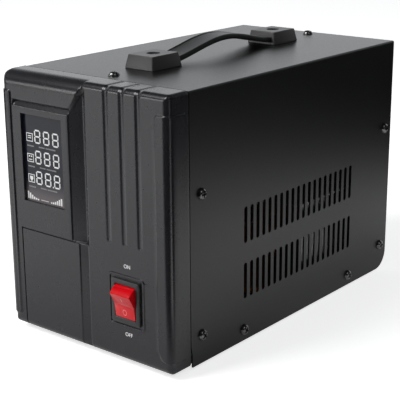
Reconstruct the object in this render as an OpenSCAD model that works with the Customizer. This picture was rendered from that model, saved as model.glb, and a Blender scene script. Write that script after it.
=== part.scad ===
/* [Case] */
// Width over the moulded front
case_w = 150; // [142:1:165]
// Height of the moulded front
case_h = 186; // [178:1:205]
// Depth from the front face to the cover's rear edge
case_d = 273; // [266:1:300]
// Thickness of the folded steel sheet
sheet = 1.2; // [0.8:0.1:1.5]
// Clearance between two pieces that seat in each other
seat_gap = 0.1; // [0.05:0.05:0.15]
// Height of a rubber foot below the moulded front's lower edge
foot_drop = 4; // [3.6:0.2:6]
// How far the steel base lies above the moulded front's lower edge
base_lift = 1.5; // [1:0.1:2]

/* [Moulded front] */
// Depth of the moulded front
bezel_depth = 21; // [20:0.5:24]
// Thickness of its front wall
bezel_face = 3.6; // [3.4:0.1:4.2]
// Thickness of its side walls
bezel_wall = 2.6; // [2.2:0.1:3]
// Corner radius seen from the front
bezel_corner = 3; // [2:0.5:5]
// Radius of the rolled upright edges
side_roll = 4.2; // [3:0.2:5]
// Radius of the rolled top edge on the right part
top_roll = 4.4; // [3:0.2:5]
// Radius of the rolled top edge on the left part
brow_roll = 10; // [6:0.5:11]
// Radius of the lower front edge
low_roll = 5.2; // [3:0.2:5.6]
// Gap between the side and the display frame
frame_in = 10; // [10:0.5:13]
// Width of the display frame
frame_w = 53; // [50:0.5:54]
// Height of the display frame
frame_h = 86.4; // [82:0.2:90]
// Height from the display frame to the top
frame_down = 23.4; // [21:0.2:26]
// Shadow gap between the display frame and the brow
shadow_h = 3.9; // [3:0.1:5]
// Depth of the shadow gap
shadow_depth = 2; // [1:0.1:2.4]
// Width of the upright valley beside the display frame
valley_w = 14.1; // [11:0.1:15]
// Depth of the valley
valley_depth = 3; // [2:0.1:4]
// Width of the valley's sloping right side
valley_slope_w = 4; // [3:0.1:5]
// Width of the narrow channel below the display
channel_w = 8.4; // [6:0.1:10]
// Depth of the narrow channel
channel_depth = 1.5; // [1:0.1:2]
// Height of the panel below the display
low_panel_h = 74.8; // [70:0.2:78]
// Gap between the side and the panel below the display
low_panel_in = 13.5; // [13:0.1:17]
// Width and depth of the line round the low panel
line_w = 0.8; // [0.5:0.1:1.2]
// Width of the raised pad at the left edge
left_pad_w = 8.3; // [8:0.1:11]
// Width of the raised pad at the right edge
right_pad_w = 10.7; // [9:0.1:12]
// How far the pads stand out
pad_proud = 0.8; // [0.5:0.1:1]
// Height of the pads' lower end
pad_low = 8.5; // [6:0.5:11]
// Height from the pads' upper end to the top
pad_down = 13.2; // [11:0.2:16]
// Corner radius of the pads
pad_corner = 2; // [1:0.5:2.5]
// Depth of the pads on the sides
pad_run = 15.5; // [14:0.5:18]
// Width of an upright groove
groove_w = 4.2; // [2:0.1:5]
// Depth of an upright groove
groove_depth = 1.3; // [0.8:0.1:1.6]
// Spacing of the upright grooves
groove_pitch = 13.7; // [12:0.1:14]
// Number of upright grooves
groove_count = 3; // [2:1:3]
// Height of the grooves' lower end
groove_low = 82; // [78:1:90]

/* [Display] */
// Width of the display window
window_w = 39.4; // [36:0.2:40]
// Height of the display window
window_h = 62; // [58:0.5:64]
// Gap from the display frame's left edge to the window
window_in = 7.1; // [6:0.1:8]
// Gap from the display frame's top edge to the window
window_down = 4.7; // [4:0.1:6]
// Depth of the window pane behind the face
lens_set = 2.3; // [2:0.1:2.5]
// How far the pane reaches behind the window's edge
lens_lap = 2.4; // [2:0.1:2.8]
// Thickness of the display module
lcd_t = 5.5; // [5:0.1:6.5]
// How far the display module reaches past the pane on each side
lcd_lap = 1; // [0.5:0.1:1.2]
// Width of the display circuit board
display_board_w = 54; // [53:0.5:55]
// Height of the display circuit board
display_board_h = 84; // [82:0.5:86]
// Thickness of the circuit boards
board_t = 1.6; // [1:0.1:2]
// Radius of the posts that carry the display board
post_r = 3; // [2.5:0.1:3.2]

/* [Switch] */
// Distance from the right side to the switch's centre
switch_in = 38; // [36:0.1:42]
// Height of the switch's centre above the lower edge
switch_up = 43.6; // [40:0.1:47]
// Width of the switch's flange
switch_w = 25.2; // [24:0.1:26]
// Height of the switch's flange
switch_h = 30.6; // [30:0.1:32]
// Thickness of the switch's flange
switch_flange = 1.8; // [1.4:0.1:2.2]
// How far the flange laps over its hole on each side
switch_lap = 1.6; // [1.4:0.1:1.8]
// Depth of the switch body behind its flange
switch_depth = 21; // [19:0.5:24]
// Width of the rocker
rocker_w = 17.5; // [16.5:0.1:18]
// Height of the rocker at the flange
rocker_h = 22.3; // [21:0.1:22.6]
// Depth of the rocker's axis behind the flange
rocker_axis = 4.5; // [4:0.1:5]
// Distance of the rocker's middle from its axis
rocker_dip = 6.1; // [5.6:0.1:6.4]
// Angle between off and on, in degrees
rocker_throw = 36; // [30:1:38]
// Width of the raised frame line round the switch
rim_w = 1.6; // [1:0.1:2]
// Gap between the flange and the raised frame line
rim_gap = 1.6; // [1:0.1:2]
// Height of the raised frame line
rim_proud = 0.7; // [0.5:0.1:1]

/* [Cover] */
// How far the cover lies inside the moulded front's outline
cover_inset = 0.6; // [0.4:0.1:0.8]
// How far the cover reaches below the moulded front
cover_down = 1.4; // [1:0.1:2]
// Outer radius of the bends at the top
cover_bend = 1.4; // [1.4:0.1:3]
// Radius of the rounded lower rear corner
cover_corner = 14; // [10:0.5:16]
// Number of vent slots in a row
vent_count = 20; // [16:1:20]
// Spacing of the vent slots
vent_pitch = 7.04; // [6.5:0.01:7.4]
// Width of a vent slot
vent_w = 3.6; // [2.5:0.1:3.8]
// Length of a vent slot
vent_h = 26.2; // [22:0.1:28]
// Height of the lower row's middle
vent_low = 43.1; // [41:0.1:45]
// Distance between the two rows' middles
vent_rise = 40.6; // [38:0.1:44]

/* [Screws] */
// Thread radius of the case screws
screw_r = 2; // [1.5:0.1:2]
// Head radius of the case screws
screw_head_r = 4; // [3.5:0.1:4.2]
// Head height of the case screws
screw_head_h = 2.6; // [2:0.1:3]
// Shank length of the case screws
screw_len = 7; // [5:0.5:9]
// Clearance round a screw in its hole
screw_gap = 0.05; // [0.03:0.01:0.1]
// Depth of the front screws behind the moulded front
front_screw_in = 11.5; // [10:0.5:13]
// Depth of the rear screws before the cover's rear edge
rear_screw_in = 10; // [9.5:0.5:12]
// Height of the lower side screws
low_screw_up = 19; // [17:0.5:22]
// Height of the upper side screws
high_screw_up = 117; // [110:0.5:125]
// Height of the bottom edge screws
edge_screw_up = 6.8; // [6.8:0.1:8]
// Distance of the bottom edge screws from the cover's middle
edge_screw_off = 68; // [60:1:74]

/* [Handle] */
// Distance between the two handle blocks' middles
block_pitch = 141; // [134:1:148]
// How far the handle's middle lies before the cover's middle
handle_ahead = 4; // [0:0.5:6]
// Width of a handle block
block_w = 26; // [22:0.5:28]
// Length of a handle block
block_l = 31; // [28:0.5:34]
// Height of a handle block
block_h = 9.5; // [8.5:0.5:12]
// How far a block draws in towards its top
block_taper = 1.8; // [1:0.1:2.5]
// Width of the strap
strap_w = 19; // [16:0.5:20]
// Thickness of the strap
strap_t = 3.4; // [3:0.1:4]
// Height of the strap's crown above the cover
strap_crown = 14.2; // [13:0.1:18]
// Height of the strap's upper face where it enters a block
strap_foot = 5.2; // [5:0.1:6]
// How far the strap reaches into a block
strap_in = 8; // [6:0.5:9]
// Thickness of the steel band inside the strap
band_t = 0.8; // [0.6:0.1:1]
// Width of the steel band inside the strap
band_w = 12; // [10:0.5:14]
// Thread radius of the handle screws
handle_screw_r = 2.5; // [2:0.1:3]
// Head radius of the handle screws
handle_head_r = 4.6; // [4.2:0.1:5]
// Head height of the handle screws
handle_head_h = 3; // [2.5:0.1:3.5]

/* [Feet] */
// Radius of a rubber foot
foot_r = 9; // [7:0.5:10]
// How far the feet lie in from the sides and rear
foot_in = 30; // [28:1:36]

/* [Rear panel] */
// How far the rear panel lies inside the cover's rear edge
rear_inset = 5; // [4:0.5:6]
// Outer radius of the base's bend up to the rear panel
base_bend = 11; // [9:0.5:12]
// Depth of the flanges that fasten the two end panels
flange_run = 20; // [18:1:22]
// Distance between the two sockets' middles
socket_pitch = 66; // [62:1:68]
// Height of the sockets' middle
socket_up = 128; // [122:1:134]
// Side of a socket's face plate
socket_plate = 52; // [50:0.5:54]
// Thickness of a socket's face plate
socket_plate_t = 3; // [2.5:0.1:4]
// Radius of a socket's round well
well_r = 19.6; // [19.5:0.1:20]
// Depth of a socket's well
well_depth = 17.5; // [17:0.1:19]
// Wall of a socket's barrel
barrel_wall = 2; // [1.6:0.1:2.4]
// Distance between a socket's two contact holes
contact_pitch = 19; // [18.5:0.1:19.5]
// Radius of a contact hole
contact_r = 2.6; // [2.5:0.1:3]
// Distance of the mains inlet's middle from the panel's middle
inlet_off = 38; // [34:1:40]
// Height of the mains inlet's middle
inlet_up = 52; // [46:1:58]
// Distance between the inlet's two screws
inlet_pitch = 40; // [39:0.5:41]
// Height of the thermal breaker's middle
breaker_up = 52; // [46:1:60]
// Distance of the earth stud from the panel's middle
stud_off = 38; // [32:1:44]
// Height of the earth stud
stud_up = 40; // [34:1:50]
// Thread radius of the earth stud
stud_r = 2; // [2:0.1:2.5]

/* [Transformer] */
// Distance of the ring transformer's middle behind the case's middle
ring_y = 38; // [32:1:42]
// Outer radius of the ring transformer
ring_r = 52; // [48:1:53]
// Radius of the ring transformer's hole
ring_hole = 20; // [19:0.5:22]
// Height of the ring transformer
ring_h = 46; // [42:1:48]
// Thickness of the copper winding
winding_t = 5; // [4:0.5:7]
// Module of the gear pair
gear_module = 1.25; // [1.2:0.05:1.3]
// Teeth on the large gear
gear_teeth = 36; // [35:1:37]
// Teeth on the small gear
pinion_teeth = 14; // [13:1:15]
// Thickness of the gears
gear_t = 5; // [4:0.5:6]
// Radius of the arm's shaft
shaft_r = 3; // [2.5:0.1:3.2]
// Distance of the carbon brush from the shaft
brush_at = 40; // [38:0.5:42]

/* [Hidden] */
$fn = 48;

// One overrun serves every cut, and a cut through the sheet has it on both sides
over = 1;
through = sheet + 2 * over;

// Places of the case's faces
half_w = case_w / 2;
front_y = -case_d / 2;
rear_y = case_d / 2;
low_z = foot_drop;
top_z = foot_drop + case_h;
seam_y = front_y + bezel_depth;
wall_x = half_w - cover_inset - sheet;
roof_z = top_z - cover_inset;
floor_z = low_z + base_lift + sheet;
cover_mid = (seam_y + rear_y) / 2;
panel_y = rear_y - rear_inset;
rear_seam_z = floor_z - sheet + base_bend + over;

// Layout of the moulded front
frame_x = -half_w + frame_in;
frame_right = frame_x + frame_w;
frame_top = top_z - frame_down;
frame_low = frame_top - frame_h;
brow_low = frame_top + shadow_h;
valley_right = frame_right + valley_w;
valley_back = bezel_wall;
brow_end = top_z - top_roll;
valley_steps = 8;
low_panel_x = -half_w + low_panel_in;
channel_right = valley_right + line_w;
channel_left = channel_right - channel_w;
groove_mid = half_w - switch_in - line_w;
pad_top = top_z - pad_down;
pad_z = low_z + pad_low;

// Display
window_x = frame_x + window_in + window_w / 2;
window_z = frame_top - window_down - window_h / 2;
lens_t = bezel_face - lens_set;
display_board_y = front_y + bezel_face + lcd_t;
display_post_in = 3.4;
display_screw_r = 1.1;
display_head_r = 2.2;
display_head_h = 1.6;
display_screw_len = 5;
boss_r = 4;
boss_in_x = 10.5;
boss_in_z = 9.5;
boss_low = 12;
boss_screw_r = 1.5;
boss_head_r = 2.8;
boss_head_h = 2;
boss_screw_len = 8;

// Switch
switch_x = half_w - switch_in;
switch_z = low_z + switch_up;
body_w = switch_w - 2 * switch_lap;
body_h = switch_h - 2 * switch_lap;
switch_corner = 1.6;
flange_y = front_y - switch_flange;
pivot_y = flange_y + rocker_axis;
rocker_r = sqrt(pow(rocker_h / 2, 2) + pow(rocker_axis, 2));
rocker_gap = 0.3;
rocker_side_gap = 0.2;
rocker_back = 3;
rocker_pin_r = 1.5;
rocker_pin_len = 1.2;
rocker_tip = acos(rocker_axis / rocker_r) - rocker_throw / 2;
front_reach = switch_flange + rocker_r * cos(rocker_tip - rocker_throw / 2) - rocker_axis;
tab_w = 6.3;
tab_t = 0.8;
tab_len = 8;
tab_off_x = 5;
tab_off_z = 7;

// Cover
cover_out = half_w - cover_inset;
cover_low = low_z - cover_down;
relief_w = 2.4;
relief_h = 20;
front_screw_y = seam_y + front_screw_in;
rear_screw_y = rear_y - rear_screw_in;
hole_r = screw_r + 2 * screw_gap;
cross_w = 0.9;
cross_l = 4.6;
cross_depth = 1.6;

// End panels
panel_x = wall_x - seat_gap;
panel_top = roof_z - sheet - seat_gap;
cable_slot_w = 24;
cable_slot_h = 9;
switch_room = 2;
lip_h = 12;
lip_gap = 1.5;

// Handle
handle_mid = cover_mid - handle_ahead;
block_y = block_pitch / 2;
strap_half = block_y - block_l / 2 + strap_in;
strap_steps = 28;
strap_rim_w = 1.6;
strap_rim_h = 0.6;
counterbore_depth = 4;
handle_nut_h = 4;
handle_nut_r = 4.6;
slot_side = 0.6;

// Feet
foot_taper = 1;
foot_recess_r = 4;
foot_recess = 3;
foot_screw_r = 1.5;
foot_head_r = 2.9;
foot_head_h = 2;
foot_h = low_z + base_lift;
foot_x = half_w - foot_in;
foot_back = 3.5;
foot_y_front = seam_y + foot_r + foot_back;
foot_y_rear = rear_y - foot_in;

// Sockets
socket_x = socket_pitch / 2;
socket_z = low_z + socket_up;
barrel_r = well_r + barrel_wall;
barrel_floor = 3;
barrel_len = well_depth - socket_plate_t + barrel_floor;
socket_corner = 4;
clip_w = 4;
clip_t = 0.8;
clip_in = 2.4;
sleeve_wall = 0.8;
sleeve_len = 9;
sleeve_grip = 0.2;
socket_screw_in = 4.5;

// Mains inlet
inlet_x = -inlet_off;
inlet_z = low_z + inlet_up;
inlet_plate_w = 50;
inlet_plate_h = 23;
inlet_plate_t = 3;
inlet_body_w = 27.4;
inlet_body_h = 19.8;
inlet_body_len = 20;
inlet_cavity_w = 24.4;
inlet_cavity_h = 16.8;
inlet_cavity_depth = 16.5;
inlet_cut = 4;
inlet_corner = 2;
pin_w = 2;
pin_h = 4;
pin_len = 14.5;
pin_off = 7;
earth_pin_up = 3.5;
pin_tail = 9;
small_screw_r = 1.5;
small_head_r = 2.8;
small_head_h = 1.8;
small_screw_len = 8;

// Thermal breaker
breaker_w = 14.5;
breaker_h = 32;
breaker_len = 24;
bushing_r = 5.5;
bushing_len = 4.6;
button_r = 3.5;
button_out = 3;
button_travel = 3;
button_stem = 9;
button_gap = 0.05;
nut_r = 8;
nut_h = 2.4;

// Earth stud
stud_tip = rear_y + front_reach;
stud_head_r = 3.8;
stud_head_h = 2.8;
stud_shoulder = 0.3;
stud_root_r = stud_r + stud_shoulder;
washer_r = 4.5;
washer_t = 0.8;
earth_nut_r = 3.9;
earth_nut_h = 3.2;

// Ring transformer
pad_t = 2;
ring_low = floor_z + pad_t;
ring_top = ring_low + ring_h;
ring_edge = 6;
ring_fit = 0.3;
clamp_r = 27;
clamp_t = 4;
clamp_hub_r = 18.5;
clamp_hub_h = 12;
clamp_top = ring_top + clamp_t;
ring_bolt_off = 11;
ring_bolt_r = 2.5;
ring_bolt_head_r = 4.6;
ring_bolt_head_h = 3;
ring_nut_h = 3.5;

// Brush arm
arm_rise = 5.5;
arm_t = 3;
arm_w = 12;
hub_r = 8;
arm_z = clamp_top + arm_rise;
arm_top = arm_z + arm_t;
gear_lift = 5;
gear_z = arm_top + gear_lift;
track_gap = 0.2;
brush_w = 8;
brush_d = 5;
brush_h = 9;
brush_room = 0.15;
holder_wall = 1.2;
holder_h = 13;
holder_up = 2.6;
spring_wire = 0.5;
spring_r = 2;
shaft_gap = 0.05;
shaft_in = 8;

// Bracket and motor
bracket_t = 1.5;
leg_gap = 4;
bracket_d = 40;
bracket_front = 20;
bracket_lift = 3;
bracket_z = gear_z + gear_t + bracket_lift;
bush_r = 5;
bush_h = 6;
shaft_over = 2;
pair_gap = (gear_teeth + pinion_teeth) * gear_module / 2;
motor_r = 18;
motor_box_h = 22;
motor_can_r = 14;
motor_can_h = 30;
motor_shaft_r = 2;
boss_step = 2;
motor_boss_r = 6;
backlash = 0.25;
pressure_angle = 20;
flank_steps = 4;
root_share = 1.2;

// Control board
board_w = 104;
board_h = 74;
board_down = 14;
spacer_len = 8;
spacer_r = 3;
spacer_foot_r = 2.2;
spacer_bore = 1.6;
spacer_in = 5;
board_y = seam_y + sheet + spacer_len;
board_top = roof_z - sheet - board_down;
relay_w = 15.5;
relay_h = 19;
relay_d = 15.8;
terminal_w = 46;
terminal_h = 11;
terminal_d = 12;
terminal_pitch = 7.6;
terminal_count = 6;
cap_r = 6;
cap_h = 18;
cap_step = 15;
cap_count = 3;
trimmer_w = 10;
trimmer_d = 6;
rotor_r = 3.2;
rotor_d = 2;
rotor_proud = 1;
slot_w = 0.9;
slot_depth = 0.8;
trimmer_x = -board_w / 3;
trimmer_z = board_top - board_h / 3;

// Small transformer
lam_w = 48;
lam_h = 40;
lam_d = 18;
coil_w = 30;
coil_h = 24;
coil_d = 34;
strap_ear = 9;
small_gap = 2;
small_x = strap_ear + lam_w / 2 + small_gap + sheet - panel_x;
small_in = 56.5;
small_y = seam_y + small_in;

// Leads
lead_r = 1.3;
lead_knee_share = 1.03;

// Places of repeated pieces
socket_screw_places = [
    for (s = [-1, 1])
        (socket_plate / 2 - socket_screw_in) * [s, s]
];
inlet_pin_places = [[-pin_off, -earth_pin_up / 2], [pin_off, -earth_pin_up / 2], [0, earth_pin_up / 2]];
spacer_places = [
    for (sx = [-1, 1], z = [board_top - spacer_in, board_top - board_h + spacer_in])
        [sx * (board_w / 2 - spacer_in), z]
];

// Turn of the small gear that lets a gap face a tooth of the large gear
gear_tooth_off = 90 - floor(90 * gear_teeth / 360) * 360 / gear_teeth;
pinion_phase = -90 + 180 / pinion_teeth + gear_tooth_off * gear_teeth / pinion_teeth;

// Waste of a rounded corner at a rectangle's low left
module corner_waste(r) {
    difference() {
        translate([-over, -over]) square(r + over);
        translate([r, r]) circle(r);
    }
}

// Rectangle from its low corner, with its corner radii anticlockwise from low left
module panel(low, size, radii) {
    corners = [low, low + [size[0], 0], low + size, low + [0, size[1]]];
    difference() {
        translate(low) square(size);
        for (i = [0:3])
            if (radii[i] > 0)
                translate(corners[i]) rotate(90 * i) corner_waste(radii[i]);
    }
}

// Centred rectangle with equal round corners
module rounded(size, r) {
    panel([-size[0] / 2, -size[1] / 2], size, [r, r, r, r]);
}

// Shape drawn in X and Z, carried along Y
module stand(y, depth) {
    translate([0, y + depth, 0]) rotate([90, 0, 0]) linear_extrude(depth) children();
}

// Shape drawn in Y and Z, carried along X
module side(x, width) {
    translate([x, 0, 0]) rotate([90, 0, 90]) linear_extrude(width) children();
}

// Shape drawn in X and Y, carried along Z
module plan(z, height) {
    translate([0, 0, z]) linear_extrude(height) children();
}

// Round bar along X, Y or Z from a start point
module bar_x(p, r, len) {
    translate(p) rotate([0, 90, 0]) cylinder(r = r, h = len);
}
module bar_y(p, r, len) {
    translate(p) rotate([-90, 0, 0]) cylinder(r = r, h = len);
}
module bar_z(p, r, len) {
    translate(p) cylinder(r = r, h = len);
}

// Cut through a piece of height h that stands on the plane at zero
module bore(r, h) {
    translate([0, 0, -over]) cylinder(r = r, h = h + 2 * over);
}

// Six sided nut or head along Z, with a hole where its radius is more than zero
module hexagon(r, h, hole) {
    difference() {
        cylinder(r = r, h = h, $fn = 6);
        if (hole > 0) bore(hole, h);
    }
}

// Pan head screw along Z, its head standing on the plane at zero and its shank below
module pan_screw(r, len, head_r, head_h) {
    dome = (pow(head_r, 2) + pow(head_h, 2)) / (2 * head_h);
    difference() {
        union() {
            intersection() {
                translate([0, 0, head_h - dome]) sphere(r = dome);
                cylinder(r = head_r, h = head_h);
            }
            translate([0, 0, -len]) cylinder(r = r, h = len + head_h / 2);
        }
        for (turn = [0, 90])
            rotate(turn)
                translate([-cross_l / 2, -cross_w / 2, head_h - cross_depth])
                    cube([cross_l, cross_w, cross_depth + over]);
    }
}

// Turns that bring a piece made along Z to face right, left, back, up or down
right = [0, 90, 0];
left = [0, -90, 0];
back = [-90, 0, 0];
up = [0, 0, 0];
down = [180, 0, 0];

// The same screw at a point, its head facing one of these ways
module screw_facing(p, way, r, len, head_r, head_h) {
    translate(p) rotate(way) pan_screw(r, len, head_r, head_h);
}

// Lead that runs straight between its points, round at each of them
module lead(points, r) {
    for (i = [0:len(points) - 2]) {
        d = points[i + 1] - points[i];
        reach = norm(d);
        tilt = acos(d[2] / reach);
        turn = atan2(d[1], d[0]);
        translate(points[i]) rotate([0, tilt, turn]) cylinder(r = r, h = reach);
        if (i > 0) translate(points[i]) sphere(r = r * lead_knee_share);
    }
}

function blend(t) = t * t * (3 - 2 * t);

// Places of the case screws, as depth and height on each side
side_screws = [
    [front_screw_y, low_z + high_screw_up],
    [front_screw_y, low_z + low_screw_up],
    [rear_screw_y, low_z + high_screw_up],
    [rear_screw_y, low_z + low_screw_up],
    [cover_mid - edge_screw_off, low_z + edge_screw_up],
    [cover_mid + edge_screw_off, low_z + edge_screw_up]
];
roof_screws = [front_screw_y, rear_screw_y];
feet = [
    [-foot_x, foot_y_front], [foot_x, foot_y_front],
    [-foot_x, foot_y_rear], [foot_x, foot_y_rear]
];
bezel_bosses = [
    for (sx = [-1, 1])
        for (z = [low_z + boss_low, top_z - boss_in_z])
            [sx * (half_w - boss_in_x), z]
];
display_posts = [
    for (sx = [-1, 1], sz = [-1, 1])
        [
            window_x + sx * (display_board_w / 2 - display_post_in),
            window_z + sz * (display_board_h / 2 - display_post_in)
        ]
];

// The moulded front's outline grown by a margin
module front_body(grow, roll) {
    intersection() {
        stand(front_y - grow, bezel_depth + grow)
            translate([0, low_z + case_h / 2])
                rounded([case_w + 2 * grow, case_h + 2 * grow], bezel_corner + grow);
        plan(low_z - grow, case_h + 2 * grow)
            panel(
                [-half_w - grow, front_y - grow], [case_w + 2 * grow, bezel_depth + grow],
                [side_roll + grow, side_roll + grow, 0, 0]
            );
        side(-half_w - grow, case_w + 2 * grow)
            panel(
                [front_y - grow, low_z - grow], [bezel_depth + grow, case_h + 2 * grow],
                [low_roll + grow, 0, 0, roll + grow]
            );
    }
}

// The valley seen from the front, bounded by the brow's curved end
module valley_shape() {
    polygon(concat(
        [
            [frame_right, low_z + low_panel_h],
            [valley_right, low_z + low_panel_h],
            [valley_right, brow_end]
        ],
        [
            for (i = [1:valley_steps])
                let (t = i / valley_steps)
                    [valley_right - valley_w * t, brow_end - (brow_end - frame_top) * blend(t)]
        ]
    ));
}

// Left part above the display, with the larger roll
module brow_shape() {
    polygon(concat(
        [[-half_w - over, brow_low], [-half_w - over, top_z + over], [valley_right, top_z + over]],
        [
            for (i = [0:valley_steps])
                let (t = i / valley_steps)
                    [valley_right - valley_w * t, brow_end - (brow_end - brow_low) * blend(t)]
        ]
    ));
}

module groove_cuts() {
    for (i = [0:groove_count - 1])
        translate([groove_mid + (i - (groove_count - 1) / 2) * groove_pitch, 0, 0])
            difference() {
                stand(front_y - over, bezel_depth + 2 * over)
                    panel(
                        [-groove_w / 2, groove_low + low_z], [groove_w, case_h],
                        [groove_w / 2, groove_w / 2, 0, 0]
                    );
                side(-groove_w, 2 * groove_w)
                    panel(
                        [front_y + groove_depth, low_z], [bezel_depth + over, case_h - groove_depth],
                        [0, 0, 0, top_roll - groove_depth]
                    );
            }
}

module pads() {
    intersection() {
        front_body(pad_proud, top_roll);
        union() {
            stand(front_y - over, pad_run + over)
                panel(
                    [-half_w - over, pad_z], [left_pad_w + over, pad_top - pad_z],
                    [0, pad_corner, pad_corner, 0]
                );
            stand(front_y - over, pad_run + over)
                panel(
                    [half_w - right_pad_w, pad_z], [right_pad_w + over, pad_top - pad_z],
                    [4 * pad_corner, 0, 0, pad_corner]
                );
        }
    }
}

module bezel_hollow() {
    difference() {
        translate([-half_w + bezel_wall, front_y + bezel_face, low_z + bezel_wall])
            cube([case_w - 2 * bezel_wall, bezel_depth, case_h - 2 * bezel_wall]);
        stand(front_y, valley_depth + valley_back)
            translate([0, low_z])
                panel(
                    [frame_right - valley_back, low_panel_h], [valley_w + valley_back, case_h],
                    [0, 0, 0, 0]
                );
        side(-half_w, valley_right + half_w)
            difference() {
                translate([front_y, brow_low]) square([bezel_depth, top_z - brow_low]);
                panel(
                    [front_y + bezel_face, brow_low - over],
                    [bezel_depth, top_z - brow_low - bezel_wall + over],
                    [0, 0, 0, brow_roll - bezel_wall]
                );
            }
        for (p = bezel_bosses)
            bar_y([p[0], front_y, p[1]], boss_r, bezel_depth);
        for (p = display_posts)
            bar_y([p[0], front_y, p[1]], post_r, bezel_face + lcd_t);
    }
}

module front_bezel() {
    color([0.26, 0.26, 0.27])
        difference() {
            union() {
                front_body(0, top_roll);
                pads();
                stand(front_y - rim_proud, rim_proud + line_w)
                    translate([switch_x, switch_z])
                        rounded(
                            [switch_w + 2 * (rim_gap + rim_w), switch_h + 2 * (rim_gap + rim_w)],
                            switch_corner + rim_gap
                        );
            }
            stand(front_y - rim_proud - over, rim_proud + over)
                translate([switch_x, switch_z])
                    rounded([switch_w + 2 * rim_gap, switch_h + 2 * rim_gap], switch_corner);
            intersection() {
                stand(front_y - over, brow_roll + over) brow_shape();
                side(-case_w, 2 * case_w)
                    difference() {
                        translate([front_y - over, brow_low]) square([brow_roll + over, case_h]);
                        panel(
                            [front_y, low_z], [bezel_depth, case_h],
                            [0, 0, 0, brow_roll]
                        );
                    }
            }
            stand(front_y - over, shadow_depth + over)
                translate([frame_x, frame_top]) square([frame_w + line_w, shadow_h]);
            intersection() {
                stand(front_y - over, valley_depth + over) valley_shape();
                plan(low_z, case_h)
                    polygon([
                        [frame_right, front_y - over], [valley_right, front_y - over],
                        [valley_right, front_y],
                        [valley_right - valley_slope_w, front_y + valley_depth],
                        [frame_right, front_y + valley_depth]
                    ]);
            }
            stand(front_y - over, channel_depth + over)
                translate([channel_left, low_z - over]) square([channel_w, low_panel_h + over]);
            stand(front_y - over, line_w + over)
                difference() {
                    translate([low_panel_x - line_w, low_z - over])
                        square([channel_left - low_panel_x + line_w, low_panel_h + over + line_w]);
                    translate([low_panel_x, low_z - 2 * over])
                        square([channel_left - low_panel_x, low_panel_h + 2 * over]);
                }
            groove_cuts();
            bezel_hollow();
            stand(front_y - over, bezel_face + 2 * over)
                translate([window_x, window_z]) rounded([window_w, window_h], line_w);
            stand(front_y + lens_set, bezel_face)
                translate([window_x, window_z])
                    square([lens_size(window_w), lens_size(window_h)], center = true);
            stand(front_y - over, bezel_face + 2 * over)
                translate([switch_x, switch_z])
                    square([body_w + 2 * seat_gap, body_h + 2 * seat_gap], center = true);
            for (p = bezel_bosses)
                bar_y([p[0], seam_y - boss_screw_len, p[1]], boss_screw_r + screw_gap, boss_screw_len + over);
            for (p = display_posts)
                bar_y(
                    [p[0], display_board_y - display_screw_len + board_t, p[1]],
                    display_screw_r + screw_gap, display_screw_len
                );
        }
}

function lens_size(window) = window + 2 * (lens_lap + seat_gap);

module display_lens() {
    color([0.1, 0.11, 0.13, 0.6])
        stand(front_y + lens_set, lens_t)
            translate([window_x, window_z])
                square([window_w + 2 * lens_lap, window_h + 2 * lens_lap], center = true);
}

module lcd_module() {
    lap = 2 * (lens_lap + lcd_lap);
    color([0.75, 0.77, 0.76])
        stand(front_y + bezel_face, lcd_t)
            translate([window_x, window_z]) square([window_w + lap, window_h + lap], center = true);
}

module display_board() {
    color([0.05, 0.35, 0.2])
        difference() {
            stand(display_board_y, board_t)
                translate([window_x, window_z])
                    square([display_board_w, display_board_h], center = true);
            for (p = display_posts)
                bar_y([p[0], display_board_y - over, p[1]], display_screw_r + screw_gap, board_t + 2 * over);
        }
}

module display_screws() {
    color([0.7, 0.7, 0.7])
        for (p = display_posts)
            screw_facing(
                [p[0], display_board_y + board_t, p[1]], back,
                display_screw_r, display_screw_len, display_head_r, display_head_h
            );
}

// Screws that hold the front plate to the moulded front and the board to its spacers
module plate_screws() {
    places = concat(
        [for (p = bezel_bosses) [p[0], seam_y + sheet, p[1]]],
        [for (p = spacer_places) [p[0], board_y + board_t, p[1]]]
    );
    color([0.7, 0.7, 0.7])
        for (p = places)
            screw_facing(p, back, boss_screw_r, boss_screw_len, boss_head_r, boss_head_h);
}

module switch_housing() {
    color([0.08, 0.08, 0.08])
        difference() {
            union() {
                stand(flange_y, switch_flange)
                    translate([switch_x, switch_z]) rounded([switch_w, switch_h], switch_corner);
                stand(front_y, switch_depth)
                    translate([switch_x, switch_z]) square([body_w, body_h], center = true);
            }
            bar_x(
                [switch_x - rocker_w / 2 - rocker_side_gap, pivot_y, switch_z],
                rocker_r + rocker_gap, rocker_w + 2 * rocker_side_gap
            );
            bar_x([switch_x - body_w, pivot_y, switch_z], rocker_pin_r + shaft_gap, 2 * body_w);
        }
}

module switch_rocker() {
    tip = rocker_r * [-cos(rocker_tip), sin(rocker_tip)];
    color([0.8, 0.04, 0.08])
        translate([switch_x, pivot_y, switch_z])
            rotate([rocker_throw / 2, 0, 0]) {
                side(-rocker_w / 2, rocker_w)
                    intersection() {
                        circle(r = rocker_r);
                        polygon([
                            [-rocker_dip, 0], tip, [tip[0], rocker_h],
                            [rocker_back, rocker_h], [rocker_back, -rocker_h],
                            [tip[0], -rocker_h], [tip[0], -tip[1]]
                        ]);
                    }
                bar_x(
                    [-rocker_w / 2 - rocker_pin_len, 0, 0],
                    rocker_pin_r, rocker_w + 2 * rocker_pin_len
                );
            }
}

module switch_terminals() {
    color([0.8, 0.75, 0.55])
        for (sx = [-1, 1], sz = [-1, 1])
            translate([
                switch_x + sx * tab_off_x - tab_t / 2,
                front_y + switch_depth,
                switch_z + sz * tab_off_z - tab_w / 2
            ])
                cube([tab_t, tab_len, tab_w]);
}

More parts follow.
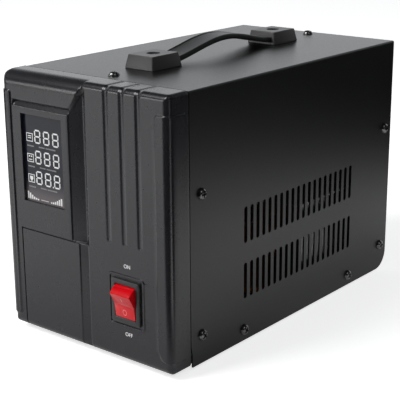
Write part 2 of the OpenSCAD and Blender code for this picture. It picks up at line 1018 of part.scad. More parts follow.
module cover() {
    color([0.07, 0.07, 0.075])
        difference() {
            stand(seam_y, rear_y - seam_y)
                difference() {
                    panel(
                        [-cover_out, cover_low], [2 * cover_out, roof_z - cover_low],
                        [0, 0, cover_bend, cover_bend]
                    );
                    panel(
                        [-wall_x, cover_low - over], [2 * wall_x, roof_z - sheet - cover_low + over],
                        [0, 0, cover_bend - sheet, cover_bend - sheet]
                    );
                }
            side(-half_w, case_w) translate([rear_y, cover_low]) rotate(90) corner_waste(cover_corner);
            side(-half_w, case_w)
                translate([seam_y - over, cover_low - over])
                    polygon([[0, 0], [relief_w, 0], [relief_w, relief_h / 2], [0, relief_h]]);
            for (row = [0, 1])
                for (i = [0:vent_count - 1])
                    side(-half_w, case_w)
                        translate([
                            cover_mid + (i - (vent_count - 1) / 2) * vent_pitch,
                            low_z + vent_low + row * vent_rise
                        ])
                            rounded([vent_w, vent_h], vent_w / 2);
            for (p = side_screws)
                bar_x([-half_w, p[0], p[1]], hole_r, case_w);
            for (y = roof_screws)
                bar_z([0, y, roof_z - sheet - over], hole_r, through);
            for (s = [-1, 1])
                bar_z(
                    [0, handle_mid + s * block_y, roof_z - sheet - over],
                    handle_screw_r + screw_gap, through
                );
        }
}

module chassis_base() {
    lip_y = seam_y + flange_run + lip_gap;
    lip_end = panel_y - flange_run - lip_gap;
    color([0.62, 0.64, 0.66])
        difference() {
            union() {
                side(-panel_x, 2 * panel_x)
                    difference() {
                        panel(
                            [seam_y, floor_z - sheet], [panel_y - seam_y, rear_seam_z - floor_z + sheet],
                            [0, base_bend, 0, 0]
                        );
                        panel(
                            [seam_y - over, floor_z], [panel_y - sheet - seam_y + over, base_bend + over],
                            [0, base_bend - sheet, 0, 0]
                        );
                    }
                for (x = [-panel_x, panel_x - sheet])
                    translate([x, lip_y, floor_z - sheet]) cube([sheet, lip_end - lip_y, lip_h + sheet]);
            }
            for (p = side_screws)
                bar_x([-half_w, p[0], p[1]], hole_r, case_w);
            for (p = feet)
                bar_z([p[0], p[1], floor_z - sheet - over], foot_screw_r + screw_gap, through);
            for (s = [-1, 1])
                bar_z(
                    [s * ring_bolt_off, ring_y, floor_z - sheet - over],
                    ring_bolt_r + screw_gap, through
                );
        }
}

// End panel folded from sheet, with flanges on its four sides
module folded_end(y, low, run) {
    stand(min(y, y + run), abs(run))
        difference() {
            end_outline(low);
            translate([-panel_x + sheet, low + sheet])
                square([2 * (panel_x - sheet), panel_top - low - 2 * sheet]);
        }
    stand(run > 0 ? y : y - sheet, sheet) end_outline(low);
}

module end_outline(low) {
    bend = cover_bend - sheet;
    panel([-panel_x, low], [2 * panel_x, panel_top - low], [0, 0, bend, bend]);
}

module end_screw_holes() {
    for (p = side_screws)
        bar_x([-half_w, p[0], p[1]], hole_r, case_w);
    for (y = roof_screws)
        bar_z([0, y, panel_top - sheet - over], hole_r, through);
}

module front_plate() {
    color([0.62, 0.64, 0.66])
        difference() {
            folded_end(seam_y, floor_z, flange_run);
            end_screw_holes();
            stand(seam_y - over, through)
                translate([switch_x, switch_z])
                    square([body_w + 2 * switch_room, body_h + 2 * switch_room], center = true);
            stand(seam_y - over, through)
                translate([window_x, frame_low]) square([cable_slot_w, cable_slot_h], center = true);
            for (p = feet)
                bar_z([p[0], p[1], floor_z - over], foot_screw_r + screw_gap, through);
            for (p = bezel_bosses)
                bar_y([p[0], seam_y - over, p[1]], boss_screw_r + screw_gap, through);
            for (p = spacer_places)
                bar_y([p[0], seam_y - over, p[1]], spacer_foot_r, through);
        }
}

module panel_hole(x, z, r) {
    bar_y([x, panel_y - sheet - over, z], r, through);
}

module rear_panel() {
    color([0.09, 0.09, 0.1])
        difference() {
            folded_end(panel_y, rear_seam_z, -flange_run);
            end_screw_holes();
            for (s = [-1, 1]) {
                panel_hole(s * socket_x, socket_z, barrel_r + seat_gap);
                for (p = socket_screw_places)
                    panel_hole(s * socket_x + p[0], socket_z + p[1], small_screw_r + screw_gap);
                panel_hole(inlet_x + s * inlet_pitch / 2, inlet_z, small_screw_r + screw_gap);
            }
            stand(panel_y - sheet - over, through)
                translate([inlet_x, inlet_z])
                    square([inlet_body_w + 2 * seat_gap, inlet_body_h + 2 * seat_gap], center = true);
            panel_hole(0, low_z + breaker_up, bushing_r + screw_gap);
            panel_hole(stud_off, low_z + stud_up, stud_root_r + screw_gap);
        }
}

module cover_screws() {
    color([0.35, 0.35, 0.35]) {
        for (p = side_screws) {
            screw_facing([cover_out, p[0], p[1]], right, screw_r, screw_len, screw_head_r, screw_head_h);
            screw_facing([-cover_out, p[0], p[1]], left, screw_r, screw_len, screw_head_r, screw_head_h);
        }
        for (y = roof_screws)
            screw_facing([0, y, roof_z], up, screw_r, screw_len, screw_head_r, screw_head_h);
    }
}

// Height of the strap's upper face above the cover, by the distance from its middle
function strap_rise(d) = abs(d) > block_y - block_l / 2
    ? strap_foot
    : strap_foot + (strap_crown - strap_foot) * strap_arch(d / (block_y - block_l / 2));
function strap_arch(t) = (cos(90 * t) + blend(1 - abs(t))) / 2;

// A layer of the strap between two depths below its upper face
module strap_layer(top_in, low_in, half) {
    polygon(concat(
        [
            for (i = [-strap_steps:strap_steps])
                let (d = half * i / strap_steps)
                    [handle_mid + d, roof_z + strap_rise(d) - top_in]
        ],
        [
            for (i = [-strap_steps:strap_steps])
                let (d = -half * i / strap_steps)
                    [handle_mid + d, roof_z + strap_rise(d) - low_in]
        ]
    ));
}

// Handle block with its strap slot towards the handle's middle
module handle_block(s) {
    y = handle_mid + s * block_y;
    inner = y - s * block_l / 2;
    slot_len = strap_in + slot_side;
    color([0.05, 0.05, 0.055])
        difference() {
            intersection() {
                side(-block_w / 2, block_w)
                    polygon([
                        [y - block_l / 2, roof_z], [y + block_l / 2, roof_z],
                        [y + block_l / 2 - block_taper, roof_z + block_h],
                        [y - block_l / 2 + block_taper, roof_z + block_h]
                    ]);
                stand(y - block_l / 2, block_l)
                    polygon([
                        [-block_w / 2, roof_z], [block_w / 2, roof_z],
                        [block_w / 2 - block_taper, roof_z + block_h],
                        [-block_w / 2 + block_taper, roof_z + block_h]
                    ]);
            }
            translate([
                -strap_w / 2 - seat_gap,
                s > 0 ? inner - over : inner - slot_len,
                roof_z + strap_foot - strap_t - seat_gap
            ])
                cube([
                    strap_w + 2 * seat_gap, slot_len + over,
                    strap_t + strap_rim_h + 2 * seat_gap
                ]);
            bar_z([0, y, roof_z - over], handle_screw_r + screw_gap, block_h + 2 * over);
            bar_z(
                [0, y, roof_z + block_h - counterbore_depth],
                handle_head_r + seat_gap, counterbore_depth + over
            );
        }
}

module handle_block_front() handle_block(-1);

module handle_block_rear() handle_block(1);

module handle_strap() {
    color([0.04, 0.04, 0.045])
        difference() {
            union() {
                side(-strap_w / 2, strap_w) strap_layer(0, strap_t, strap_half);
                for (x = [-strap_w / 2, strap_w / 2 - strap_rim_w])
                    side(x, strap_rim_w) strap_layer(-strap_rim_h, strap_t / 2, strap_half);
            }
            side(-band_w / 2 - seat_gap, band_w + 2 * seat_gap)
                strap_layer(
                    (strap_t - band_t) / 2 - seat_gap, (strap_t + band_t) / 2 + seat_gap,
                    strap_half + over
                );
        }
}

module handle_band() {
    color([0.6, 0.6, 0.62])
        side(-band_w / 2, band_w)
            strap_layer((strap_t - band_t) / 2, (strap_t + band_t) / 2, strap_half);
}

module handle_screws() {
    grip = block_h - counterbore_depth + sheet + handle_nut_h;
    color([0.75, 0.75, 0.76])
        for (s = [-1, 1])
            screw_facing(
                [0, handle_mid + s * block_y, roof_z + block_h - counterbore_depth], up,
                handle_screw_r, grip, handle_head_r, handle_head_h
            );
}

module handle_nuts() {
    color([0.75, 0.75, 0.76])
        for (s = [-1, 1])
            translate([0, handle_mid + s * block_y, roof_z - sheet - handle_nut_h])
                hexagon(handle_nut_r, handle_nut_h, handle_screw_r + screw_gap);
}

module foot(place) {
    color([0.05, 0.05, 0.05])
        translate([place[0], place[1], 0])
            difference() {
                cylinder(r1 = foot_r - foot_taper, r2 = foot_r, h = foot_h);
                translate([0, 0, -over]) cylinder(r = foot_recess_r, h = foot_recess + over);
                bore(foot_screw_r + screw_gap, foot_h);
            }
}

module foot_front_left() foot(feet[0]);

module foot_front_right() foot(feet[1]);

module foot_rear_left() foot(feet[2]);

module foot_rear_right() foot(feet[3]);

module foot_screws() {
    color([0.7, 0.7, 0.7])
        for (p = feet)
            screw_facing(
                [p[0], p[1], foot_recess], down,
                foot_screw_r, foot_h - foot_recess + 2 * sheet, foot_head_r, foot_head_h
            );
}

// Round well socket with two contact holes
module socket_body(s) {
    face = panel_y + socket_plate_t;
    color([0.06, 0.06, 0.06])
        translate([s * socket_x, 0, socket_z])
            difference() {
                union() {
                    stand(panel_y, socket_plate_t)
                        rounded([socket_plate, socket_plate], socket_corner);
                    bar_y([0, panel_y - barrel_len, 0], barrel_r, barrel_len + socket_plate_t / 2);
                }
                bar_y([0, face - well_depth, 0], well_r, well_depth + over);
                for (t = [-1, 1]) {
                    bar_y([t * contact_pitch / 2, panel_y - barrel_len - over, 0], contact_r, barrel_len);
                    translate([
                        -clip_w / 2 - seat_gap, panel_y - barrel_len - over,
                        t * (well_r - clip_in) - clip_t / 2 - seat_gap
                    ])
                        cube([clip_w + 2 * seat_gap, barrel_len, clip_t + 2 * seat_gap]);
                }
                for (p = socket_screw_places)
                    bar_y([p[0], panel_y - over, p[1]], small_screw_r + screw_gap, socket_plate_t + 2 * over);
            }
}

module socket_left() socket_body(-1);

module socket_right() socket_body(1);

// Spring sleeves behind the contact holes, and the well's two earth clips
module socket_contacts(s) {
    rear = panel_y - barrel_len;
    clip_len = barrel_floor + well_depth * 2 / 3;
    color([0.85, 0.68, 0.35])
        translate([s * socket_x, 0, socket_z]) {
            for (t = [-1, 1])
                translate([t * contact_pitch / 2, rear - sleeve_len, 0])
                    rotate([-90, 0, 0])
                        difference() {
                            cylinder(r = contact_r + sleeve_wall, h = sleeve_len);
                            bore(contact_r - sleeve_grip, sleeve_len);
                        }
            for (t = [-1, 1])
                translate([-clip_w / 2, rear, t * (well_r - clip_in) - clip_t / 2])
                    cube([clip_w, clip_len, clip_t]);
            translate([-clip_w / 2, rear - clip_t, -well_r + clip_in - clip_t / 2])
                cube([clip_w, clip_t, 2 * (well_r - clip_in) + clip_t]);
        }
}

module socket_contacts_left() socket_contacts(-1);

module socket_contacts_right() socket_contacts(1);

module socket_screws() {
    color([0.72, 0.72, 0.72])
        for (s = [-1, 1])
            for (p = socket_screw_places)
                screw_facing(
                    [s * socket_x + p[0], panel_y + socket_plate_t, socket_z + p[1]], back,
                    small_screw_r, small_screw_len, small_head_r, small_head_h
                );
}

// Mouth of the inlet, with its two upper corners cut off
module inlet_mouth() {
    w = inlet_cavity_w / 2;
    h = inlet_cavity_h / 2;
    low = h - inlet_cut;
    in = w - inlet_cut;
    polygon([[-w, -h], [w, -h], [w, low], [in, h], [-in, h], [-w, low]]);
}

module inlet_housing() {
    face = panel_y + inlet_plate_t;
    color([0.06, 0.06, 0.06])
        translate([inlet_x, 0, inlet_z])
            difference() {
                union() {
                    stand(panel_y, inlet_plate_t) rounded([inlet_plate_w, inlet_plate_h], inlet_corner);
                    stand(panel_y - inlet_body_len, inlet_body_len)
                        square([inlet_body_w, inlet_body_h], center = true);
                }
                stand(face - inlet_cavity_depth, inlet_cavity_depth + over) inlet_mouth();
                for (p = inlet_pin_places)
                    translate([
                        p[0] - pin_w / 2 - seat_gap, panel_y - inlet_body_len - over, p[1] - pin_h / 2
                    ])
                        cube([pin_w + 2 * seat_gap, inlet_body_len, pin_h]);
                for (s = [-1, 1])
                    bar_y(
                        [s * inlet_pitch / 2, panel_y - over, 0],
                        small_screw_r + screw_gap, inlet_plate_t + 2 * over
                    );
            }
}

module inlet_pins() {
    root = panel_y + inlet_plate_t - inlet_cavity_depth;
    tail = panel_y - inlet_body_len - pin_tail;
    color([0.85, 0.8, 0.6])
        translate([inlet_x, 0, inlet_z])
            for (p = inlet_pin_places)
                translate([p[0] - pin_w / 2, tail, p[1] - pin_h / 2])
                    cube([pin_w, root + pin_len - tail, pin_h]);
}

module inlet_screws() {
    color([0.72, 0.72, 0.72])
        for (s = [-1, 1])
            screw_facing(
                [inlet_x + s * inlet_pitch / 2, panel_y + inlet_plate_t, inlet_z], back,
                small_screw_r, small_screw_len, small_head_r, small_head_h
            );
}

module breaker_body() {
    color([0.1, 0.1, 0.1])
        translate([0, 0, low_z + breaker_up])
            difference() {
                union() {
                    stand(panel_y - sheet - breaker_len, breaker_len)
                        square([breaker_w, breaker_h], center = true);
                    bar_y([0, panel_y - sheet, 0], bushing_r, sheet + bushing_len);
                }
                bar_y(
                    [0, panel_y - sheet - button_stem, 0],
                    button_r + button_gap, button_stem + sheet + bushing_len + over
                );
            }
}

module breaker_button() {
    color([0.85, 0.83, 0.78])
        bar_y(
            [0, panel_y - button_stem + button_travel, low_z + breaker_up],
            button_r, button_stem - button_travel + bushing_len + button_out
        );
}

module breaker_nut() {
    color([0.7, 0.7, 0.72])
        translate([0, panel_y, low_z + breaker_up])
            rotate([-90, 0, 0]) hexagon(nut_r, nut_h, bushing_r + screw_gap);
}

module earth_stud() {
    start = panel_y - sheet - stud_head_h;
    color([0.85, 0.7, 0.4])
        translate([stud_off, 0, low_z + stud_up]) {
            translate([0, start, 0]) rotate([-90, 0, 0]) hexagon(stud_head_r, stud_head_h, 0);
            bar_y([0, start, 0], stud_root_r, panel_y + washer_t + earth_nut_h - start);
            bar_y([0, start, 0], stud_r, stud_tip - start);
        }
}

module earth_nut() {
    color([0.85, 0.7, 0.4])
        translate([stud_off, panel_y, low_z + stud_up])
            rotate([-90, 0, 0]) {
                difference() {
                    cylinder(r = washer_r, h = washer_t);
                    bore(stud_root_r + screw_gap, washer_t);
                }
                translate([0, 0, washer_t]) hexagon(earth_nut_r, earth_nut_h, stud_root_r + screw_gap);
            }
}

module ring_pad() {
    color([0.2, 0.2, 0.2])
        translate([0, ring_y, floor_z])
            difference() {
                cylinder(r = ring_r - ring_edge / 2, h = pad_t);
                bore(ring_hole, pad_t);
            }
}

// Section of the ring, its radius drawn along X
module ring_section(inset, edge) {
    panel(
        [ring_hole + inset, inset], [ring_r - ring_hole - 2 * inset, ring_h - 2 * inset],
        [edge, edge, edge, edge]
    );
}

module ring_core() {
    inset = winding_t + ring_fit;
    color([0.35, 0.35, 0.38])
        translate([0, ring_y, ring_low])
            rotate_extrude() ring_section(inset, line_w);
}

module ring_winding() {
    color([0.72, 0.38, 0.15])
        translate([0, ring_y, ring_low])
            rotate_extrude()
                difference() {
                    ring_section(0, ring_edge);
                    ring_section(winding_t, line_w);
                }
}

module ring_clamp() {
    color([0.5, 0.3, 0.15])
        translate([0, ring_y, 0])
            difference() {
                union() {
                    bar_z([0, 0, ring_top], clamp_r, clamp_t);
                    bar_z([0, 0, ring_top - clamp_hub_h], clamp_hub_r, clamp_hub_h + clamp_t / 2);
                }
                bar_z([0, 0, clamp_top - shaft_in], shaft_r + shaft_gap, shaft_in + over);
                for (s = [-1, 1])
                    bar_z(
                        [s * ring_bolt_off, 0, ring_top - clamp_hub_h - over],
                        ring_bolt_r + screw_gap, clamp_hub_h + clamp_t + 2 * over
                    );
            }
}

module ring_bolts() {
    head_z = floor_z - sheet - ring_bolt_head_h;
    color([0.7, 0.7, 0.7])
        for (s = [-1, 1])
            translate([s * ring_bolt_off, ring_y, 0]) {
                translate([0, 0, head_z]) hexagon(ring_bolt_head_r, ring_bolt_head_h, 0);
                bar_z([0, 0, head_z], ring_bolt_r, clamp_top + ring_nut_h - head_z);
                translate([0, 0, clamp_top]) hexagon(ring_bolt_head_r, ring_nut_h, 0);
            }
}

module motor_bracket() {
    leg_x = panel_x - sheet - bracket_t - leg_gap;
    plate_rear = pair_gap + motor_r;
    color([0.66, 0.67, 0.7])
        translate([0, ring_y, 0])
            difference() {
                union() {
                    translate([-leg_x - bracket_t, -bracket_front, bracket_z])
                        cube([2 * (leg_x + bracket_t), bracket_front + plate_rear, bracket_t]);
                    for (x = [-leg_x - bracket_t, leg_x])
                        translate([x, -bracket_front, floor_z])
                            cube([bracket_t, bracket_d, bracket_z - floor_z + bracket_t]);
                    bar_z([0, 0, bracket_z - bush_h / 4], bush_r, bush_h);
                }
                bar_z([0, 0, bracket_z - bush_h], shaft_r + shaft_gap, 2 * bush_h);
                bar_z([0, pair_gap, bracket_z - over], motor_boss_r + seat_gap, bracket_t + 2 * over);
            }
}

module servo_motor() {
    box_z = bracket_z + bracket_t;
    color([0.75, 0.75, 0.76])
        translate([0, ring_y + pair_gap, 0])
            difference() {
                union() {
                    bar_z([0, 0, box_z - bracket_t], motor_boss_r, bracket_t + boss_step);
                    bar_z([0, 0, box_z], motor_r, motor_box_h);
                    bar_z([0, 0, box_z + motor_box_h], motor_can_r, motor_can_h);
                }
                bar_z([0, 0, box_z - bracket_t - over], motor_shaft_r + shaft_gap, motor_box_h / 2);
            }
}

// Involute of a base circle, by the roll angle in degrees
function involute(base, roll) = base * [
    cos(roll) + roll * PI / 180 * sin(roll),
    sin(roll) - roll * PI / 180 * cos(roll)
];
function roll_at(base, r) = r > base ? sqrt(pow(r / base, 2) - 1) * 180 / PI : 0;
function spin(p, a) = [p[0] * cos(a) - p[1] * sin(a), p[0] * sin(a) + p[1] * cos(a)];

// Outline of a spur gear with one tooth centred on the X axis
module gear_shape(teeth) {
    pitch_r = teeth * gear_module / 2;
    base_r = pitch_r * cos(pressure_angle);
    tip_r = pitch_r + gear_module;
    root_r = pitch_r - root_share * gear_module;
    start = roll_at(base_r, root_r);
    stop = roll_at(base_r, tip_r);
    at_pitch = involute(base_r, roll_at(base_r, pitch_r));
    lean = atan2(at_pitch[1], at_pitch[0]);
    half = 90 / teeth - backlash / pitch_r * 90 / PI + lean;
    flank = [
        for (i = [0:flank_steps])
            spin(involute(base_r, start + (stop - start) * i / flank_steps), -half)
    ];
    foot_angle = atan2(flank[0][1], flank[0][0]);
    tooth = concat(
        [root_r * [cos(foot_angle), sin(foot_angle)]], flank,
        [for (i = [flank_steps:-1:0]) [flank[i][0], -flank[i][1]]],
        [root_r * [cos(foot_angle), -sin(foot_angle)]]
    );
    polygon([for (i = [0:teeth - 1]) for (p = tooth) spin(p, i * 360 / teeth)]);
}

module drive_gear() {
    color([0.9, 0.9, 0.85])
        translate([0, ring_y, gear_z])
            difference() {
                union() {
                    linear_extrude(gear_t) gear_shape(gear_teeth);
                    translate([0, 0, arm_top - gear_z])
                        cylinder(r = hub_r, h = gear_z - arm_top + gear_t / 2);
                }
                translate([0, 0, arm_top - gear_z - over])
                    cylinder(r = shaft_r, h = gear_z - arm_top + gear_t + 2 * over);
            }
}

module motor_pinion() {
    color([0.85, 0.7, 0.35])
        translate([0, ring_y + pair_gap, gear_z]) {
            rotate(pinion_phase) linear_extrude(gear_t) gear_shape(pinion_teeth);
            cylinder(r = motor_shaft_r, h = bracket_z + motor_box_h / 4 - gear_z);
        }
}

module arm_shaft() {
    color([0.75, 0.75, 0.76])
        bar_z(
            [0, ring_y, clamp_top - shaft_in + seat_gap],
            shaft_r, bracket_z + bush_h + shaft_over - clamp_top + shaft_in
        );
}

module brush_arm() {
    holder_w = brush_w + 2 * (brush_room + holder_wall);
    holder_d = brush_d + 2 * (brush_room + holder_wall);
    holder_z = ring_top + holder_up;
    color([0.8, 0.8, 0.82])
        translate([0, ring_y, 0])
            difference() {
                union() {
                    bar_z([0, 0, arm_z], hub_r, arm_t);
                    translate([-arm_w / 2, -brush_at, arm_z]) cube([arm_w, brush_at, arm_t]);
                    translate([-holder_w / 2, -brush_at - holder_d / 2, holder_z])
                        cube([holder_w, holder_d, holder_h]);
                }
                bar_z([0, 0, arm_z - over], shaft_r, arm_t + 2 * over);
                translate([-brush_w / 2 - brush_room, -brush_at - brush_d / 2 - brush_room, holder_z - over])
                    cube([brush_w + 2 * brush_room, brush_d + 2 * brush_room, holder_h - holder_wall + over]);
            }
}

module carbon_brush() {
    color([0.15, 0.15, 0.15])
        translate([-brush_w / 2, ring_y - brush_at - brush_d / 2, ring_top + track_gap])
            cube([brush_w, brush_d, brush_h]);
}

module brush_spring() {
    low = ring_top + track_gap + brush_h;
    high = ring_top + holder_up + holder_h - holder_wall;
    color([0.7, 0.7, 0.72])
        translate([0, ring_y - brush_at, low])
            difference() {
                cylinder(r = spring_r, h = high - low);
                bore(spring_r - spring_wire, high - low);
            }
}

module control_board() {
    color([0.1, 0.4, 0.2])
        difference() {
            union() {
                stand(board_y, board_t)
                    translate([-board_w / 2, board_top - board_h]) square([board_w, board_h]);
                for (i = [0:terminal_count - 1])
                    translate([
                        -terminal_w / 2 + i * terminal_pitch,
                        board_y + board_t, board_top - board_h + spacer_in
                    ])
                        cube([terminal_pitch - seat_gap, terminal_d, terminal_h]);
                translate([trimmer_x - trimmer_w / 2, board_y + board_t, trimmer_z - trimmer_w / 2])
                    cube([trimmer_w, trimmer_d, trimmer_w]);
            }
            for (p = spacer_places)
                bar_y([p[0], board_y - over, p[1]], spacer_bore, board_t + 2 * over);
            bar_y(
                [trimmer_x, board_y + board_t + trimmer_d - rotor_d, trimmer_z],
                rotor_r + shaft_gap, trimmer_d
            );
        }
}

module trimmer_rotor() {
    face = board_y + board_t + trimmer_d + rotor_proud;
    color([0.9, 0.9, 0.9])
        difference() {
            bar_y([trimmer_x, face - rotor_d - rotor_proud, trimmer_z], rotor_r, rotor_d + rotor_proud);
            translate([trimmer_x - rotor_r, face - slot_depth, trimmer_z - slot_w / 2])
                cube([2 * rotor_r, slot_depth + over, slot_w]);
        }
}

module board_spacers() {
    color([0.8, 0.7, 0.4])
        for (p = spacer_places)
            translate([p[0], seam_y, p[1]])
                rotate([-90, 0, 0])
                    difference() {
                        union() {
                            cylinder(r = spacer_foot_r, h = sheet + spacer_len);
                            translate([0, 0, sheet]) cylinder(r = spacer_r, h = spacer_len);
                        }
                        bore(spacer_bore, sheet + spacer_len);
                    }
}

module relay() {
    color([0.1, 0.25, 0.6])
        translate([board_w / 3 - relay_w / 2, board_y + board_t, board_top - board_h / 3 - relay_h / 2])
            cube([relay_w, relay_d, relay_h]);
}

module capacitors() {
    color([0.12, 0.12, 0.2])
        for (i = [0:cap_count - 1])
            bar_y(
                [(i - (cap_count - 1) / 2) * cap_step, board_y + board_t, board_top - board_h / 4],
                cap_r, cap_h
            );
}

module small_transformer() {
    color([0.45, 0.42, 0.4])
        translate([small_x, small_y, 0]) {
            translate([-lam_w / 2, -lam_d / 2, floor_z]) cube([lam_w, lam_d, lam_h]);
            translate([-coil_w / 2, -coil_d / 2, floor_z + (lam_h - coil_h) / 2])
                cube([coil_w, coil_d, coil_h]);
            translate([-lam_w / 2 - strap_ear, -lam_d / 2, floor_z])
                cube([lam_w + 2 * strap_ear, lam_d, sheet]);
        }
}

// Live lead from the switch to the ring transformer
module wire_red() {
    start = [switch_x + tab_off_x, front_y + switch_depth + tab_len, switch_z + tab_off_z];
    high = switch_z + switch_h;
    goal = [0, ring_y - ring_r, ring_low + ring_h / 3];
    color([0.75, 0.05, 0.05])
        lead([
            start, start + [0, tab_len, 0],
            [wall_x - tab_len, front_y + switch_depth * 3, high],
            [wall_x - tab_len * 2, front_y + switch_depth * 4, high],
            goal - [0, tab_len, 0], goal
        ], lead_r);
}

// Neutral lead from the inlet to the left socket
module wire_blue() {
    start = [
        inlet_x - pin_off, panel_y - inlet_body_len - pin_tail - lead_r,
        inlet_z - earth_pin_up / 2
    ];
    goal = [-socket_x - contact_pitch / 2, panel_y - barrel_len - sleeve_len - lead_r, socket_z];
    color([0.1, 0.25, 0.7])
        lead([
            start, start - [tab_len, tab_len / 2, 0],
            [-wall_x + tab_len, start[1], goal[2] - tab_len], goal
        ], lead_r);
}

// Earth lead from the stud to the inlet
module wire_earth() {
    start = [stud_off, panel_y - sheet - stud_head_h, low_z + stud_up];
    goal = [inlet_x, panel_y - inlet_body_len - pin_tail, inlet_z + earth_pin_up / 2];
    color([0.3, 0.6, 0.1])
        lead([
            start, [start[0], goal[1] - tab_len, start[2]],
            [goal[0], goal[1] - tab_len, goal[2]], goal
        ], lead_r);
}

front_bezel();
display_lens();
lcd_module();
display_board();
display_screws();
plate_screws();
switch_housing();
switch_rocker();
switch_terminals();
cover();
chassis_base();
front_plate();
rear_panel();
cover_screws();
handle_block_front();
handle_block_rear();
handle_strap();
handle_band();
handle_screws();
handle_nuts();
foot_front_left();
foot_front_right();
foot_rear_left();
foot_rear_right();
foot_screws();
socket_left();
socket_right();
socket_contacts_left();
socket_contacts_right();
socket_screws();
inlet_housing();
inlet_pins();
inlet_screws();
breaker_body();
breaker_button();
breaker_nut();
earth_stud();
earth_nut();
ring_pad();
ring_core();
ring_winding();
ring_clamp();
ring_bolts();
motor_bracket();
servo_motor();
motor_pinion();
drive_gear();
arm_shaft();
brush_arm();
carbon_brush();
brush_spring();
control_board();
board_spacers();
relay();
capacitors();
trimmer_rotor();
small_transformer();
wire_red();
wire_blue();
wire_earth();
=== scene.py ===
"""Voltage stabilizer: the looks of a black steel case with a moulded front, round its frame."""
import math

import bmesh
import bpy
import numpy as np
from mathutils import Matrix, Vector


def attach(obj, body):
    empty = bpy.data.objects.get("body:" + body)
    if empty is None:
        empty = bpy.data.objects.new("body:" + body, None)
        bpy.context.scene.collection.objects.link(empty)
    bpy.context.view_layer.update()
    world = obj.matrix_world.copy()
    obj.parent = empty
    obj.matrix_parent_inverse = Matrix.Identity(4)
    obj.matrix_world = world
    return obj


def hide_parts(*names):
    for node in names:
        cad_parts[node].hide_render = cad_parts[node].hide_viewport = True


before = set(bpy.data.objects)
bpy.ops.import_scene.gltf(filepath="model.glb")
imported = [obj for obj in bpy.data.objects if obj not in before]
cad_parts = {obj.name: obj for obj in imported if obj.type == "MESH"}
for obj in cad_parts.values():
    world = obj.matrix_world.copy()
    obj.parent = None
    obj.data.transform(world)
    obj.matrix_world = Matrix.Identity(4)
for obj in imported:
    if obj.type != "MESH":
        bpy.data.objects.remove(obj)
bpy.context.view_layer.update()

# Sizes are in millimetres in the part's own frame, and MM turns them into metres. Only the floor,
# the lamps and the camera, at the end, are in metres.
MM = 0.001
HALF_W = 75.0
FRONT = -136.5
LOW = 4.0
TOP = 190.0
SEAM_DEPTH = 21.0
ROOF = 189.4


# ---------------------------------------------------------------- shader nodes


class Signal:
    """A socket whose value Python's operators work on; each operator adds one Math node."""

    def __init__(self, shading, socket):
        self.shading = shading
        self.socket = socket

    def math(self, operation, *values):
        return self.shading.add("ShaderNodeMath", {"operation": operation}, dict(enumerate(values)))

    def __add__(self, other):
        return self.math("ADD", self, other)

    __radd__ = __add__

    def __sub__(self, other):
        return self.math("SUBTRACT", self, other)

    def __rsub__(self, other):
        return self.math("SUBTRACT", other, self)

    def __mul__(self, other):
        return self.math("MULTIPLY", self, other)

    __rmul__ = __mul__

    def __neg__(self):
        return self.math("MULTIPLY", self, -1.0)

    def __abs__(self):
        return self.math("ABSOLUTE", self)

    def larger(self, other):
        return self.math("MAXIMUM", self, other)

    def map(self, settings, start, end, first, last):
        """Carries start to end over to first to last, and stays level outside them."""
        inputs = {0: self, 1: start, 2: end, 3: first, 4: last}
        return self.shading.add("ShaderNodeMapRange", {"clamp": True, **settings}, inputs)

    def ramp(self, start, end):
        """0 before start, 1 past end, straight between them."""
        return self.map({}, start, end, 0.0, 1.0)

    def fade(self, start, end):
        """1 before start, 0 past end, with a soft passage; start may be the larger one."""
        return self.map({"interpolation_type": "SMOOTHSTEP"}, start, end, 1.0, 0.0)


class Shading:
    """A node tree, with the one method that adds its nodes."""

    def __init__(self, tree):
        self.tree = tree

    def put(self, socket, value):
        """Sets a socket, or links it where the value is a signal."""
        if isinstance(value, Signal):
            self.tree.links.new(value.socket, socket)
        else:
            socket.default_value = value

    def add(self, kind, settings, inputs, out=0):
        """Adds a node: its settings first, then its sockets' values or links; returns an output."""
        node = self.tree.nodes.new(kind)
        for key, value in settings.items():
            setattr(node, key, value)
        for key, value in inputs.items():
            self.put(node.inputs[key], value)
        return Signal(self, node.outputs[out])


class Finish(Shading):
    """A material: its Principled shader, and the nodes that vary it over the surface."""

    def __init__(self, name, colour, roughness, **sockets):
        self.name = name
        self.colour = colour
        self.material = bpy.data.materials.new(name)
        self.material.use_nodes = True
        super().__init__(self.material.node_tree)
        self.shader = self.tree.nodes["Principled BSDF"]
        self.place = self.add("ShaderNodeTexCoord", {}, {}, out="Object")
        self.feed("Base Color", (*colour, 1.0))
        self.feed("Roughness", roughness)
        for key, value in sockets.items():
            self.feed(key.replace("_", " "), value)

    def feed(self, key, value):
        """Sets or links a socket of the Principled shader."""
        self.put(self.shader.inputs[key], value)

    def height(self):
        """The surface point's height, in millimetres."""
        return self.add("ShaderNodeSeparateXYZ", {}, {0: self.place}, out="Z") * (1.0 / MM)

    def noise(self, grain, detail=2.0, stretch=(1.0, 1.0, 1.0)):
        """Noise round 0.5 whose grains are about this many millimetres across."""
        inputs = {"Vector": self.place, "Scale": tuple(s / (grain * MM) for s in stretch)}
        placed = self.add("ShaderNodeMapping", {}, inputs)
        inputs = {"Vector": placed, "Scale": 1.0, "Detail": detail}
        return self.add("ShaderNodeTexNoise", {}, inputs)

    def tint(self, factor, colour):
        """Mixes the base colour towards another one by a factor."""
        inputs = {0: factor, 6: (*self.colour, 1.0), 7: (*colour, 1.0)}
        self.feed("Base Color", self.add("ShaderNodeMix", {"data_type": "RGBA"}, inputs, out=2))

    def bump(self, height, depth):
        """Bump whose height signal of 1 stands for this many millimetres."""
        inputs = {"Height": height, "Distance": depth * MM, "Strength": 1.0}
        self.feed("Normal", self.add("ShaderNodeBump", {}, inputs))


